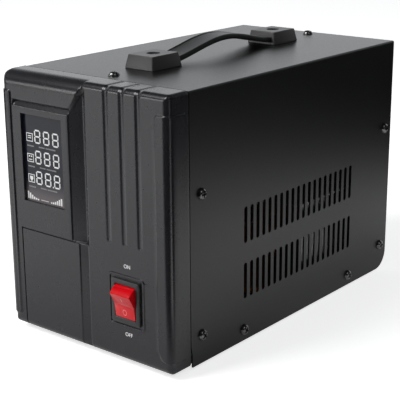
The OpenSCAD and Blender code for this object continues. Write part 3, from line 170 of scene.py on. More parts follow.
def tone(red, green, blue):
    """Linear colour from screen levels of 0 to 255."""
    levels = [c / 255.0 for c in (red, green, blue)]
    return tuple(c / 12.92 if c <= 0.04045 else ((c + 0.055) / 1.055) ** 2.4 for c in levels)


def grey(level):
    """Linear grey from a screen level of 0 to 255."""
    return tone(level, level, level)


def shaded(colour, share):
    """A linear colour made lighter or darker by a share."""
    return tuple(share * c for c in colour)


def moulded(name, colour, roughness, grain=0.35, depth=0.012, **sockets):
    """Moulded plastic: a fine spark texture, faint flow marks and a slightly uneven gloss."""
    finish = Finish(name, colour, roughness, **sockets)
    finish.tint(finish.noise(26.0, 3.0).ramp(0.3, 0.7), shaded(colour, 1.16))
    finish.feed("Roughness", roughness + (finish.noise(9.0) - 0.5) * 0.04)
    finish.bump(finish.noise(grain), depth)
    return finish


def powder(name, colour, roughness):
    """Powder coat: low waves of orange peel under a fine grain."""
    finish = Finish(name, colour, roughness)
    peel = finish.noise(1.5, 1.0)
    grain = finish.noise(0.3)
    finish.tint(finish.noise(40.0).ramp(0.35, 0.65), shaded(colour, 1.2))
    finish.feed("Roughness", roughness + (peel - 0.5) * 0.08)
    finish.bump(peel * 0.7 + grain * 0.3, 0.02)
    return finish


def metal(name, colour, roughness, grain=0.5, stretch=(1.0, 1.0, 1.0)):
    """Bare or plated metal: fine marks from rolling or turning, and a little tarnish."""
    finish = Finish(name, colour, roughness, Metallic=1.0)
    marks = finish.noise(grain, 3.0, stretch)
    finish.tint(finish.noise(7.0, 3.0).ramp(0.35, 0.7), shaded(colour, 0.8))
    finish.feed("Roughness", roughness + (marks - 0.5) * 0.16)
    finish.bump(marks, 0.004)
    return finish


BEZEL = moulded("bezel_plastic", tone(28, 28, 32), 0.27, grain=2.4, depth=0.0006)
POWDER = powder("powder_black", grey(16), 0.33)
PRINT = moulded("white_print", grey(225), 0.5, grain=0.2, depth=0.004)
GLOW = Finish("display_segments", grey(225), 0.4)
DIM_GLOW = Finish("display_captions", grey(140), 0.4)
MARK = moulded("pink_print", tone(228, 120, 122), 0.4, grain=0.2, depth=0.002)
HANDLE = moulded("handle_plastic", tone(56, 54, 55), 0.40, grain=0.6, depth=0.004)
STRAP = moulded("strap_rubber", grey(27), 0.45, grain=0.6)
BLACK = moulded("black_plastic", grey(34), 0.38)
RED = moulded("red_plastic", tone(198, 0, 14), 0.16, grain=1.5, depth=0.002)
DARK_SCREW = metal("dark_screw", grey(120), 0.28)
BRIGHT = metal("bright_screw", grey(205), 0.25)
PLATED = moulded("plated_screw", grey(215), 0.32, grain=0.6, depth=0.004, Metallic=0.35)
ZINC = metal("zinc_sheet", grey(190), 0.34, grain=2.0)
FOOT = moulded("foot_rubber", grey(30), 0.6, grain=0.5, depth=0.02)
BOARD = moulded("green_board", tone(30, 110, 66), 0.35, grain=1.0, depth=0.004)
BRASS = metal("brass_contact", tone(222, 190, 120), 0.25)
COPPER = metal("copper_winding", tone(205, 120, 60), 0.3, grain=1.2)
CORE = metal("core_steel", grey(110), 0.45)
LAMINATE = moulded("brown_board", tone(120, 82, 48), 0.5)
BRACKET = metal("bracket_steel", grey(195), 0.3, grain=1.0, stretch=(1.0, 8.0, 1.0))
GEAR = moulded("white_gear", grey(222), 0.4)
CARBON = moulded("carbon", grey(42), 0.6, grain=0.3, depth=0.02)
BUTTON = moulded("ivory_button", tone(226, 222, 208), 0.3)
RELAY = moulded("relay_blue", tone(40, 92, 170), 0.3)
SLEEVE = moulded("capacitor_sleeve", tone(34, 38, 66), 0.3)
RED_LEAD = moulded("red_lead", tone(190, 24, 24), 0.4)
BLUE_LEAD = moulded("blue_lead", tone(34, 78, 176), 0.4)
EARTH_LEAD = moulded("earth_lead", tone(112, 160, 30), 0.4)

# Painted reflection: the pane is painted paler towards its foot, where the bars stand
PANE = Finish("window_tint", tone(26, 28, 38), 0.08, Specular_IOR_Level=0.25)
PANE.tint(1.0 - PANE.height().ramp(100.0, 116.0), tone(104, 98, 100))


# ---------------------------------------------------------------- meshes

CREASE = 32.0
WELD = 2e-6
NO_AREA = 1e-7


def soft(distance, width):
    """0 to 1 as a distance grows from minus to plus half the width: 3 t^2 - 2 t^3."""
    t = np.clip(np.asarray(distance, float) / width + 0.5, 0.0, 1.0)
    return t * t * (3.0 - 2.0 * t)


def inside_rounded(x, z, low, high, radius):
    """Distance inside a rectangle with round corners, below zero outside it: the radius less the
    distance to the rectangle that is smaller by the radius on every side."""
    cx, cz = (low[0] + high[0]) / 2, (low[1] + high[1]) / 2
    qx = np.abs(x - cx) - (high[0] - low[0]) / 2 + radius
    qz = np.abs(z - cz) - (high[1] - low[1]) / 2 + radius
    away = np.hypot(np.maximum(qx, 0), np.maximum(qz, 0))
    return radius - away - np.minimum(np.maximum(qx, qz), 0)


def grid_faces(rows, columns, closed=False):
    """Quads between neighbours of a grid stored row by row; closed joins its last column to its
    first."""
    count = columns if closed else columns - 1
    r, c = np.meshgrid(np.arange(rows - 1), np.arange(count), indexing="ij")
    d = (c + 1) % columns
    corners = [r * columns + c, r * columns + d, (r + 1) * columns + d, (r + 1) * columns + c]
    return np.stack(corners, -1).reshape(-1, 4)


def join(parts):
    """One list of points and faces from several."""
    points, faces, start = [], [], 0
    for some_points, some_faces in parts:
        points.append(some_points)
        faces.extend(block + start for block in some_faces)
        start += len(some_points)
    return np.concatenate(points), faces


def outward(points, faces):
    """The faces, turned round where the closed surface's volume comes out below zero. The volume is
    the sum of a . (b x c) over the triangles a, b, c."""
    volume = 0.0
    for block in faces:
        for k in range(1, block.shape[1] - 1):
            a, b, c = points[block[:, 0]], points[block[:, k]], points[block[:, k + 1]]
            volume += np.einsum("ij,ij->", a, np.cross(b, c))
    return faces if volume > 0 else [block[:, ::-1] for block in faces]


def loft(loops):
    """Closed skin through a stack of loops of equal length, with a fan from the middle at both
    ends."""
    loops = np.asarray(loops, float)
    rows, columns = loops.shape[:2]
    points = np.concatenate([loops.reshape(-1, 3), [loops[0].mean(0)], [loops[-1].mean(0)]])
    c = np.arange(columns)
    d = (c + 1) % columns
    first = np.stack([np.full(columns, rows * columns), d, c], -1)
    base = (rows - 1) * columns
    last = np.stack([np.full(columns, rows * columns + 1), base + c, base + d], -1)
    faces = [grid_faces(rows, columns, True), first, last]
    return points, outward(points, faces)


def rounded_loop(width, height, radius, corner=7):
    """Points anticlockwise round a rectangle with round corners, centred on zero: a quarter of a
    circle at each corner's centre."""
    a = np.linspace(0.0, math.pi / 2, corner)
    points = []
    for k, (sx, sz) in enumerate(((1, 1), (-1, 1), (-1, -1), (1, -1))):
        turn = a + k * math.pi / 2
        x = sx * (width / 2 - radius) + radius * np.cos(turn)
        z = sz * (height / 2 - radius) + radius * np.sin(turn)
        points.append(np.stack([x, z], -1))
    return np.concatenate(points)


def stand_loop(loop, y, centre=(0.0, 0.0)):
    """Puts a loop drawn in X and Z at a depth."""
    return np.stack([loop[:, 0] + centre[0], np.full(len(loop), y), loop[:, 1] + centre[1]], -1)


def plan_loop(loop, z, centre):
    """Puts a loop drawn in X and Y at a height."""
    return np.stack([loop[:, 0] + centre[0], loop[:, 1] + centre[1], np.full(len(loop), z)], -1)


def merge(mesh):
    """Joins the points that lie on each other, and drops the faces that this leaves without an
    area."""
    work = bmesh.new()
    work.from_mesh(mesh)
    bmesh.ops.remove_doubles(work, verts=work.verts, dist=WELD)
    bmesh.ops.dissolve_degenerate(work, edges=work.edges, dist=NO_AREA)
    work.to_mesh(mesh)
    work.free()


def piece(name, points, faces, finish, body="case", slot=None, stands_for=(), crease=CREASE,
          weld=False):
    """Makes a mesh object at the origin from points in millimetres and blocks of faces, puts it on
    a body, and hides the nodes that it stands for. The slot is not used."""
    mesh = bpy.data.meshes.new(name)
    listed = [face for block in faces for face in block.tolist()]
    mesh.from_pydata((np.asarray(points) * MM).tolist(), [], listed)
    mesh.materials.append(finish.material)
    made = bpy.data.objects.new(name, mesh)
    bpy.context.scene.collection.objects.link(made)
    if weld:
        merge(mesh)
    mesh.shade_smooth()
    mesh.set_sharp_from_angle(angle=math.radians(crease))
    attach(made, body)
    if stands_for:
        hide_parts(*stands_for)
    return made


# ---------------------------------------------------------------- moulded front

# Rolled edges and the outline's round corners
SIDE_ROLL = 4.2
TOP_ROLL = 4.4
BROW_ROLL = 10.0
LOW_ROLL = 5.2
CORNER = 3.0
STRETCH_FROM = 179.0

# Display frame, the brow over it, the valley on its right and the panel below it
FRAME_LEFT = -65.0
FRAME_RIGHT = -12.0
FRAME_TOP = 166.6
BROW_LOW = 170.5
BROW_END = TOP - TOP_ROLL
BROW_SOFT = 1.4
BROW_SHADOW = 2.8
BROW_RISE = 4.3
VALLEY_RIGHT = 2.1
VALLEY_BANK = (1.5, 6.2)
DIP_START = 0.7
DIP_SLOPE = 0.28
LOW_PANEL_TOP = 78.8
LOW_PANEL_LEFT = -61.5
LINE_W = 0.8
LINE_SOFT = 0.4
CHANNEL = (-5.5, 2.9)
CHANNEL_BANK = (0.9, 2.2)
CHANNEL_END = (1.4, 2.0)
WINDOW = (-57.9, 99.9, -18.5, 161.9)
PANE_SIZE = (44.0, 66.6)
PANE_SEAT = (22.4, 33.8)

# Rocker switch: its place, its flange, its hole and the raised line round it
SWITCH_X, SWITCH_Z = 37.0, 47.6
SWITCH_HALF = (12.6, 15.3)
HOLE_HALF = (11.1, 13.8)
RIM_IN, RIM_OUT = 1.6, 3.2
RIM_UP, RIM_SOFT = 0.7, 0.5

# Upright grooves
GROOVES = (22.5, 36.2, 49.9)
GROOVE_HALF = 2.1
GROOVE_LOW = 86.0
GROOVE_DEPTH = 0.5

# Raised pads at both sides, which run on along the side walls
PAD_LOW, PAD_TOP = 12.5, 176.8
PAD_LEFT, PAD_RIGHT = -66.7, 64.3
PAD_RUN = 15.5
PAD_PAST = 15.0
PAD_UP, PAD_SOFT = 0.8, 0.9
PAD_CORNER, PAD_LOW_CORNER = 2.0, 8.0
BEAD_UP, BEAD_IN, BEAD_HALF = 0.22, 0.9, 0.5

# Walls
FACE_WALL = 3.6
PANE_WALL = 2.25
SIDE_WALL = 2.6
SEAM_CUT, SEAM_W = 1.1, 0.95

# Distances from an edge at which the grid has lines
FIVE = np.array([-0.5, -0.25, 0.0, 0.25, 0.5])
FILLET = np.arange(0.7, 2.3, 0.5)
RIM_FLANK = np.arange(0.5, 3.2, 0.6)
GROOVE_FLANK = np.array([0.0, 0.7, 1.3, 1.7, 2.1, 2.5, 2.9])
GROOVE_END = np.array([-0.8, -0.4, 0.0, 0.4, 0.8, 1.2, 1.6, 2.1, 2.8])
CLOSEST = 0.1


def brow_edge(x):
    """Height of the brow's lower edge: level over the display, then an S up to the top edge, by
    3 t^2 - 2 t^3."""
    t = np.clip((VALLEY_RIGHT - x) / (VALLEY_RIGHT - FRAME_RIGHT), 0.0, 1.0)
    return BROW_END - (BROW_END - BROW_LOW) * t * t * (3 - 2 * t)


def raised(x, z):
    """How far the side pads, the left pad's bead and the line round the switch stand out: each one
    is its height times a soft step of the distance inside its outline."""
    left = inside_rounded(x, z, (-HALF_W - PAD_PAST, PAD_LOW), (PAD_LEFT, PAD_TOP), PAD_CORNER)
    corner = np.where((x < PAD_RIGHT + 10) & (z < 60), PAD_LOW_CORNER, PAD_CORNER)
    right = inside_rounded(x, z, (PAD_RIGHT, PAD_LOW), (HALF_W + PAD_PAST, PAD_TOP), corner)
    height = PAD_UP * (soft(left, PAD_SOFT) + soft(right, PAD_SOFT))
    bead = BEAD_UP * np.exp(-((left - BEAD_IN) / BEAD_HALF) ** 2)
    height = height + bead * (x > -HALF_W + SIDE_ROLL)
    for size, step in ((RIM_OUT, RIM_UP), (RIM_IN, -RIM_UP)):
        half = (SWITCH_HALF[0] + size, SWITCH_HALF[1] + size)
        ring = inside_rounded(x - SWITCH_X, z - SWITCH_Z, (-half[0], -half[1]), half, size)
        height = height + step * soft(ring, RIM_SOFT)
    return height


def sunk(x, z):
    """How deep the front is cut: the deepest of the valley beside the display, whose floor slopes,
    the slope under the brow, the channel below the valley, the line round the low panel, and the
    grooves. Each one is a depth times soft steps of the distances to its edges."""
    floor = DIP_START + DIP_SLOPE * (x - FRAME_RIGHT)
    floor = floor * (1 - soft(x - VALLEY_BANK[0], VALLEY_BANK[1]))
    slope = 1.5 * np.abs((brow_edge(x + 0.4) - brow_edge(x - 0.4)) / 0.8)
    under_brow = soft((brow_edge(x) - z) / np.sqrt(1 + slope ** 2), BROW_SOFT)
    valley = floor * soft(x - FRAME_RIGHT, 0.8) * soft(z - LOW_PANEL_TOP - 0.8, 0.8) * under_brow

    rise = np.clip((z - FRAME_TOP + 0.4) / BROW_RISE, 0.0, 1.0)
    shadow = BROW_SHADOW * rise * soft(x - FRAME_LEFT, 0.7) * soft(FRAME_RIGHT + 1 - x, 0.8)
    shadow = shadow * under_brow

    hollow = DIP_START + DIP_SLOPE * (x - CHANNEL[0])
    hollow = hollow * (1 - soft(x - CHANNEL[1] + CHANNEL_BANK[0], CHANNEL_BANK[1]))
    low = soft(LOW_PANEL_TOP - z, 0.5)
    channel = hollow * soft(x - CHANNEL[0], 0.7) * low
    channel = channel * soft(z - LOW - CHANNEL_END[0], CHANNEL_END[1])

    above, beside = LOW_PANEL_TOP - z, x - LOW_PANEL_LEFT
    around = soft(above + LINE_W, LINE_SOFT) * soft(beside + LINE_W, LINE_SOFT)
    around = around * soft(CHANNEL[0] - x, LINE_SOFT)
    line = 0.8 * around * (1 - soft(above, LINE_SOFT) * soft(beside, LINE_SOFT))

    cut = np.maximum.reduce([valley, shadow, channel, line])
    for middle in GROOVES:
        low_end, high_end = (middle - GROOVE_HALF, GROOVE_LOW), (middle + GROOVE_HALF, TOP + 40)
        inside = inside_rounded(x, z, low_end, high_end, GROOVE_HALF)
        cut = np.maximum(cut, GROOVE_DEPTH * soft(inside - 0.6, 2.6))
    return cut


def across(place, width):
    """Five grid lines across a soft edge."""
    return place + width * FIVE


def both_ways(middle, distances):
    """Grid lines at distances from a middle, on both sides."""
    return np.concatenate([middle + distances, middle - distances])


def switch_lines(middle, half, hole):
    """Grid lines of the hole and of the raised line, along one axis."""
    steps = [[hole], half + RIM_OUT - RIM_FLANK]
    steps += [across(half + d, RIM_SOFT) for d in (RIM_IN, RIM_OUT)]
    return both_ways(middle, np.concatenate(steps))


def lines(*groups):
    """Sorted grid lines from several groups, without two that are too close."""
    every = np.sort(np.concatenate([np.asarray(group, float) for group in groups]))
    return every[np.concatenate([[True], np.diff(every) > CLOSEST])]


def front_lines():
    """Grid lines of the front: across X, then up Z in the flat part."""
    quarter = np.radians(np.arange(0, 91, 15))
    roll = HALF_W - SIDE_ROLL + SIDE_ROLL * np.sin(quarter)
    x = lines(
        roll, -roll, np.arange(-71, 71, 4.0),
        across(PAD_LEFT, PAD_SOFT), PAD_LEFT - FILLET,
        across(PAD_RIGHT, PAD_SOFT), np.arange(PAD_RIGHT + 0.6, 72.0, 1.1),
        across(FRAME_RIGHT, 0.9), np.arange(FRAME_RIGHT, VALLEY_RIGHT + 3.2, 0.7),
        across(VALLEY_RIGHT, 0.5), across(FRAME_LEFT, 0.7),
        across(LOW_PANEL_LEFT - LINE_W, LINE_SOFT), across(LOW_PANEL_LEFT, LINE_SOFT),
        across(CHANNEL[0], 0.7), np.arange(-1.8, 3.2, 0.5), [WINDOW[0], WINDOW[2]],
        switch_lines(SWITCH_X, SWITCH_HALF[0], HOLE_HALF[0]),
        *[both_ways(groove, GROOVE_FLANK) for groove in GROOVES],
    )
    z = lines(
        LOW + LOW_ROLL - LOW_ROLL * np.sin(quarter),
        np.arange(8.0, STRETCH_FROM, 5.0), [STRETCH_FROM],
        across(PAD_LOW, PAD_SOFT), np.arange(PAD_LOW + 0.7, PAD_LOW + 9, 1.1),
        across(PAD_TOP, PAD_SOFT), PAD_TOP - FILLET,
        across(LOW_PANEL_TOP, LINE_SOFT), across(LOW_PANEL_TOP + LINE_W, 0.6),
        np.arange(FRAME_TOP - 0.9, BROW_LOW - 1.4, 0.6), [WINDOW[1], WINDOW[3]],
        np.arange(BROW_LOW - 1.4, STRETCH_FROM, 0.6),
        switch_lines(SWITCH_Z, SWITCH_HALF[1], HOLE_HALF[1]),
        GROOVE_LOW + GROOVE_END,
    )
    return x, z


def front_face(x_lines, z_lines):
    """The front's face on a grid in X and Z. At a roll of radius r an angle a gives r sin a
    outwards and r (1 - cos a) backwards, and the two rolls of a corner join by
    (p^3 + q^3)^(1/3). The corner's outline is rounded by s sqrt(1 - t^2 / 2). Returns the plain
    points, their normals, the relief and the wall's thickness."""
    steps = np.linspace(0, 1, 11)[1:]
    angles = np.radians(np.linspace(0, 90, 13))[1:]
    flat, rolled = len(z_lines), len(z_lines) + len(steps)
    x = np.tile(x_lines, (rolled + len(angles), 1))
    roll = TOP_ROLL + (BROW_ROLL - TOP_ROLL) * soft(VALLEY_RIGHT - 0.1 - x[0], 1.2)
    start = TOP - roll
    tilt, z = np.zeros_like(x), np.zeros_like(x)
    z[:flat] = z_lines[:, None]
    z[flat:rolled] = STRETCH_FROM + steps[:, None] * (start - STRETCH_FROM)
    z[rolled:] = start + roll * np.sin(angles)[:, None]
    tilt[rolled:] = angles[:, None]
    low_tilt = np.arcsin(np.clip((LOW + LOW_ROLL - z) / LOW_ROLL, 0, 1))
    lean = np.arcsin(np.clip((np.abs(x) - HALF_W + SIDE_ROLL) / SIDE_ROLL, 0, 1)) * np.sign(x)
    back_x = SIDE_ROLL * (1 - np.cos(lean))
    back_z = roll * (1 - np.cos(tilt)) + LOW_ROLL * (1 - np.cos(low_tilt))
    y = (back_x ** 3 + back_z ** 3) ** (1 / 3)
    forward = -np.cos(lean) * np.cos(tilt) * np.cos(low_tilt)
    normal = np.stack([np.sin(lean), forward, np.sin(tilt) - np.sin(low_tilt)], -1)
    normal /= np.linalg.norm(normal, axis=-1, keepdims=True)
    amount = raised(x, z) - sunk(x, z)

    s = np.clip((np.abs(x) - HALF_W + CORNER) / CORNER, 0, 1)
    for level, way in ((TOP, 1), (LOW, -1)):
        t = np.clip((way * (z - level) + CORNER) / CORNER, 0, 1)
        round_x = HALF_W - CORNER + CORNER * s * np.sqrt(1 - t * t / 2)
        round_z = level - way * CORNER + way * CORNER * t * np.sqrt(1 - s * s / 2)
        both = (s > 0) & (t > 0)
        x = np.where(both, np.sign(x) * round_x, x)
        z = np.where(both, round_z, z)
    from_pane = np.abs(x - (WINDOW[0] + WINDOW[2]) / 2), np.abs(z - (WINDOW[1] + WINDOW[3]) / 2)
    pane = (from_pane[0] < PANE_SEAT[0]) & (from_pane[1] < PANE_SEAT[1])
    wall = FACE_WALL - np.maximum(np.sin(np.abs(lean)), np.sin(tilt + low_tilt))
    return np.stack([x, FRONT + y, z], -1), normal, amount, np.where(pane, PANE_WALL, wall)


def edge_loop(low_row, high_row, low_column, high_column):
    """Row and column numbers once round a block of a grid, from its low left corner."""
    along = np.arange(low_column, high_column)
    up = np.arange(low_row, high_row)
    low, high = np.full(len(along), low_row), np.full(len(along), high_row)
    left, right = np.full(len(up), low_column), np.full(len(up), high_column)
    row = [low, up, high, high_row - (up - low_row)]
    column = [along, right, high_column - (along - low_column), left]
    return np.concatenate(row), np.concatenate(column)


def front_walls(edge, normal, amount):
    """The walls that run back from the face's edge, outside and inside: rows at growing depths. The
    pads stand out as far as PAD_RUN, the grooves run on a little further, and the seam is cut in
    over the last part; each one ends in a soft step of the depth."""
    out = np.stack([normal[:, 0], np.zeros(len(normal)), normal[:, 2]], -1)
    out /= np.linalg.norm(out, axis=-1, keepdims=True)
    start = edge[:, 1] - FRONT
    levels = [start + (PAD_RUN - PAD_SOFT - start) * share for share in (0.35, 0.7, 1.0)]
    depths = [PAD_RUN + d for d in (-0.45, 0.0, 0.45, 0.9, 2.0, 3.2, 4.4)]
    depths += [SEAM_DEPTH - d for d in (1.2, 1.0, 0.85, 0.75, 0.0)]
    levels += [np.full(len(edge), depth) for depth in depths]
    rows_out, rows_in = [], []
    for level in levels:
        place = np.stack([edge[:, 0], FRONT + level, edge[:, 2]], -1)
        pad = np.maximum(amount, 0) * soft(PAD_RUN - level, PAD_SOFT)
        groove = np.minimum(amount, 0) * soft(PAD_RUN + 2.7 - level, 3.0)
        seam = SEAM_CUT * soft(level - SEAM_DEPTH + SEAM_W, 0.5)
        rows_out.append(place + out * (pad + groove - seam)[:, None])
        rows_in.append(place - out * SIDE_WALL)
    return rows_out, rows_in


def front_shell():
    """The front as one closed shell. Each point of its face moves along the normal by the relief,
    the inner face lies a wall behind it, reveals line the window and the switch's hole, and the
    walls close it at the back."""
    x_lines, z_lines = front_lines()
    base, normal, amount, wall = front_face(x_lines, z_lines)
    rows, columns = amount.shape
    outer = base + normal * amount[..., None]
    inner = base + normal * (np.minimum(amount, 0) - wall)[..., None]

    faces = grid_faces(rows, columns)
    face_row, face_column = np.divmod(np.arange(len(faces)), columns - 1)
    keep = np.ones(len(faces), bool)
    parts = []
    hole_x, hole_z = HOLE_HALF
    hole = (SWITCH_X - hole_x, SWITCH_Z - hole_z, SWITCH_X + hole_x, SWITCH_Z + hole_z)
    for x0, z0, x1, z1 in (WINDOW, hole):
        c0, c1 = np.abs(x_lines - x0).argmin(), np.abs(x_lines - x1).argmin()
        r0, r1 = np.abs(z_lines - z0).argmin(), np.abs(z_lines - z1).argmin()
        keep &= ~((face_row >= r0) & (face_row < r1) & (face_column >= c0) & (face_column < c1))
        ring = edge_loop(r0, r1, c0, c1)
        reveal = np.stack([outer[ring], inner[ring]])
        parts.append((reveal.reshape(-1, 3), [grid_faces(2, len(ring[0]), True)[:, ::-1]]))
    parts.append((outer.reshape(-1, 3), [faces[keep]]))
    parts.append((inner.reshape(-1, 3), [faces[keep][:, ::-1]]))

    rim = edge_loop(0, rows - 1, 0, columns - 1)
    rows_out, rows_in = front_walls(base[rim], normal[rim], amount[rim])
    skin = np.stack([outer[rim], *rows_out, *rows_in[::-1], inner[rim]])
    parts.append((skin.reshape(-1, 3), [grid_faces(len(skin), skin.shape[1], True)[:, ::-1]]))
    points, blocks = join(parts)
    return points, outward(points, blocks)


piece("front_shell", *front_shell(), BEZEL, slot="bezel_plastic", stands_for=("front_bezel",),
      weld=True)


# ---------------------------------------------------------------- display

PANE_FRONT = FRONT + 2.3
PANE_BACK = FRONT + 3.6
FACE = PANE_FRONT - 0.04
FIGURE_T = 0.1
ROW_LOW = (141.8, 127.25, 112.7)
DIGIT_X = (-47.3, -38.6, -29.8)
DIGIT_W, DIGIT_H = 6.0, 9.6
STROKE = 1.0
BAR_GAP = 0.22
ICON_X, ICON_UP, ICON_W, ICON_H, ICON_STROKE = -55.2, 0.6, 6.3, 5.9, 0.5
SIGN_X, SIGN_W, SIGN_H = -53.7, 3.3, 0.6
SIGN_DOT_W, SIGN_DOT_H = 1.2, 1.0
PLUG_SIGN = [(-52.0, 114.0), (-50.4, 116.0), (-50.4, 117.8), (-53.6, 117.8), (-53.6, 116.0)]
DASH_STEP, DASH_W, DASH_H = 0.95, 0.6, 0.9
GAUGE_LOW, GAUGE_STEP, GAUGE_W = 101.2, 1.95, 1.3
GAUGE_LEFT, GAUGE_RIGHT = -56.6, -24.0
GAUGE_H = (5.2, 4.2, 3.0, 2.0, 1.4, 1.1)


def bar(x0, z0, x1, z1):
    """Upright or level bar of a digit: six corners, pointed at both ends."""
    w = STROKE / 2
    if abs(x1 - x0) > abs(z1 - z0):
        below = [(x0 + w, z0 - w), (x1 - w, z1 - w)]
        return [(x0, z0), *below, (x1, z1), (x1 - w, z1 + w), (x0 + w, z0 + w)]
    right = [(x0 + w, z0 + w), (x1 + w, z1 - w)]
    return [(x0, z0), *right, (x1, z1), (x1 - w, z1 - w), (x0 - w, z0 + w)]


def digit(x, z):
    """The seven bars of one digit from its low left corner."""
    w = STROKE / 2
    left, right = x + w, x + DIGIT_W - w
    low, middle, high = z + w, z + DIGIT_H / 2, z + DIGIT_H - w
    bars = [bar(left + BAR_GAP, level, right - BAR_GAP, level) for level in (low, middle, high)]
    for side in (left, right):
        bars.append(bar(side, low + BAR_GAP, side, middle - BAR_GAP))
        bars.append(bar(side, middle + BAR_GAP, side, high - BAR_GAP))
    return bars


def box_outline(x, z, width, height):
    """Corners of a rectangle from its low left one."""
    return [(x, z), (x + width, z), (x + width, z + height), (x, z + height)]


def frame_outline(x, z, width, height, stroke):
    """Outlines of the four plates that frame a small rectangle."""
    upright = height - 2 * stroke
    return [
        box_outline(x, z, width, stroke), box_outline(x, z + height - stroke, width, stroke),
        box_outline(x, z + stroke, stroke, upright),
        box_outline(x + width - stroke, z + stroke, stroke, upright),
    ]


def dashes(x, z, numbers):
    """A row of short plates that stands for a small caption."""
    return [box_outline(x + DASH_STEP * i, z, DASH_W, DASH_H) for i in numbers]


def show(name, outlines, finish):
    """Flat figures just before the pane, each one a plate with an outline in X and Z."""
    loops = [np.asarray(outline, float) for outline in outlines]
    plates = [loft([stand_loop(loop, FACE), stand_loop(loop, FACE + FIGURE_T)]) for loop in loops]
    return piece(name, *join(plates), finish, slot="window_tint")


def window_pane():
    """The pane as a stack of loops, each one a hundredth smaller at its front edge."""
    loop = rounded_loop(*PANE_SIZE, 0.6)
    centre = ((WINDOW[0] + WINDOW[2]) / 2, (WINDOW[1] + WINDOW[3]) / 2)
    stack = ((loop * 0.99, PANE_FRONT), (loop, PANE_FRONT + 0.3), (loop, PANE_BACK))
    return loft([stand_loop(outline, y, centre) for outline, y in stack])


piece("window_pane", *window_pane(), PANE, slot="window_tint", stands_for=("display_lens",))
show("display_digits", [b for z in ROW_LOW for x in DIGIT_X for b in digit(x, z)], GLOW)
show("display_point", [box_outline(-31.2, ROW_LOW[2], STROKE, STROKE)], GLOW)
icons, captions = [], []
for z in ROW_LOW:
    icons += frame_outline(ICON_X, z + ICON_UP, ICON_W, ICON_H, ICON_STROKE)
    captions += dashes(-54.6, z - 2.9, range(7))
    captions += dashes(-43.1, z - 2.7, [i for i in range(17) if i != 6])
icons += [box_outline(SIGN_X, level, SIGN_W, SIGN_H) for level in (144.6, 146.0)]
icons += [box_outline(x, 131.45, SIGN_DOT_W, SIGN_DOT_H) for x in (SIGN_X, -51.6)]
icons += [box_outline(SIGN_X, 129.35, SIGN_W, SIGN_H), PLUG_SIGN]
show("display_icons", icons, GLOW)
show("display_captions", captions, DIM_GLOW)
gauge = []
for start, step in ((GAUGE_LEFT, GAUGE_STEP), (GAUGE_RIGHT, -GAUGE_STEP)):
    gauge += [box_outline(start + step * i, GAUGE_LOW, GAUGE_W, h) for i, h in enumerate(GAUGE_H)]
gauge.append(box_outline(-43.3, 101.8, 7.4, 0.35))
show("display_bars", gauge, GLOW)


# ---------------------------------------------------------------- rocker switch

FLANGE = FRONT - 1.8
PIVOT_IN = 4.5
PIVOT = FLANGE + PIVOT_IN
TIP_OUT = 11.15
ROCKER_R = math.hypot(TIP_OUT, PIVOT_IN)
THROW = math.radians(36.0)
TIP = math.acos(PIVOT_IN / ROCKER_R) - THROW / 2
DIP = 6.1
ROCKER_SIDES = ((-8.75, 0.55), (-8.55, 0.2), (-8.2, 0.0), (8.2, 0.0), (8.55, 0.2), (8.75, 0.55))
MARK_IN, MARK_OUT = 0.12, 0.02


def housing():
    """The switch's body as one skin through a stack of loops, each one with its width, height,
    corner and depth: back, body, flange with a soft edge, and the well round the rocker."""
    stack = (
        (22.0, 27.4, 0.5, FRONT + 21.0), (22.0, 27.4, 0.5, FRONT),
        (25.2, 30.6, 1.6, FRONT), (25.2, 30.6, 1.6, FLANGE + 0.6),
        (24.9, 30.3, 1.5, FLANGE + 0.2), (24.2, 29.6, 1.3, FLANGE),
        (18.8, 24.2, 0.9, FLANGE), (18.2, 23.6, 0.7, FLANGE + 0.25),
        (17.9, 22.9, 0.6, FLANGE + 0.9), (17.9, 22.9, 0.6, FRONT + 4.0),
    )
    return loft([stand_loop(rounded_loop(*size), y, (SWITCH_X, SWITCH_Z)) for *size, y in stack])


def tipped(x, outline):
    """Points at X from the rocker's middle, with an outline in Y and Z about its axle that is
    turned by half the throw."""
    c, s = math.cos(THROW / 2), math.sin(THROW / 2)
    y, z = outline[:, 0] * c - outline[:, 1] * s, outline[:, 0] * s + outline[:, 1] * c
    return np.stack([SWITCH_X + np.broadcast_to(x, y.shape), PIVOT + y, SWITCH_Z + z], -1)


def rocker():
    """The rocker's side outline carried along X: two flat faces that meet in a dip, and ends round
    the axle, at ROCKER_R (-cos a, sin a). The outline draws in towards its middle at both sides, by
    the inset of ROCKER_SIDES."""
    ends = np.linspace(TIP, math.radians(105), 12)
    upper = np.stack([-np.cos(ends), np.sin(ends)], -1) * ROCKER_R
    dip = np.array([[-DIP, 0.0]])
    face = dip + (upper[0] - dip) * np.linspace(0.12, 0.88, 5)[:, None]
    mirror = [1, -1]
    outline = np.concatenate([face, upper, upper[::-1] * mirror, (face * mirror)[::-1], dip])
    middle = np.array([-1.5, 0.0])
    away = outline - middle
    far = np.linalg.norm(away, axis=-1, keepdims=True)
    return loft([tipped(x, middle + away * (1 - inset / far)) for x, inset in ROCKER_SIDES])


def on_face(outline, up):
    """Thin plate on the rocker's lower face (up = -1) or upper face (up = 1), its outline measured
    across the rocker and from the dip along the face."""
    outline, dip = np.asarray(outline, float), np.array([-DIP, 0.0])
    along = np.array([-math.cos(TIP), math.sin(TIP) * up]) * ROCKER_R - dip
    along /= np.linalg.norm(along)
    out = np.array([-abs(along[1]), -up * abs(along[0])])
    flat = dip + outline[:, 1:2] * along
    return loft([tipped(outline[:, 0], flat + depth * out) for depth in (-MARK_IN, MARK_OUT)])


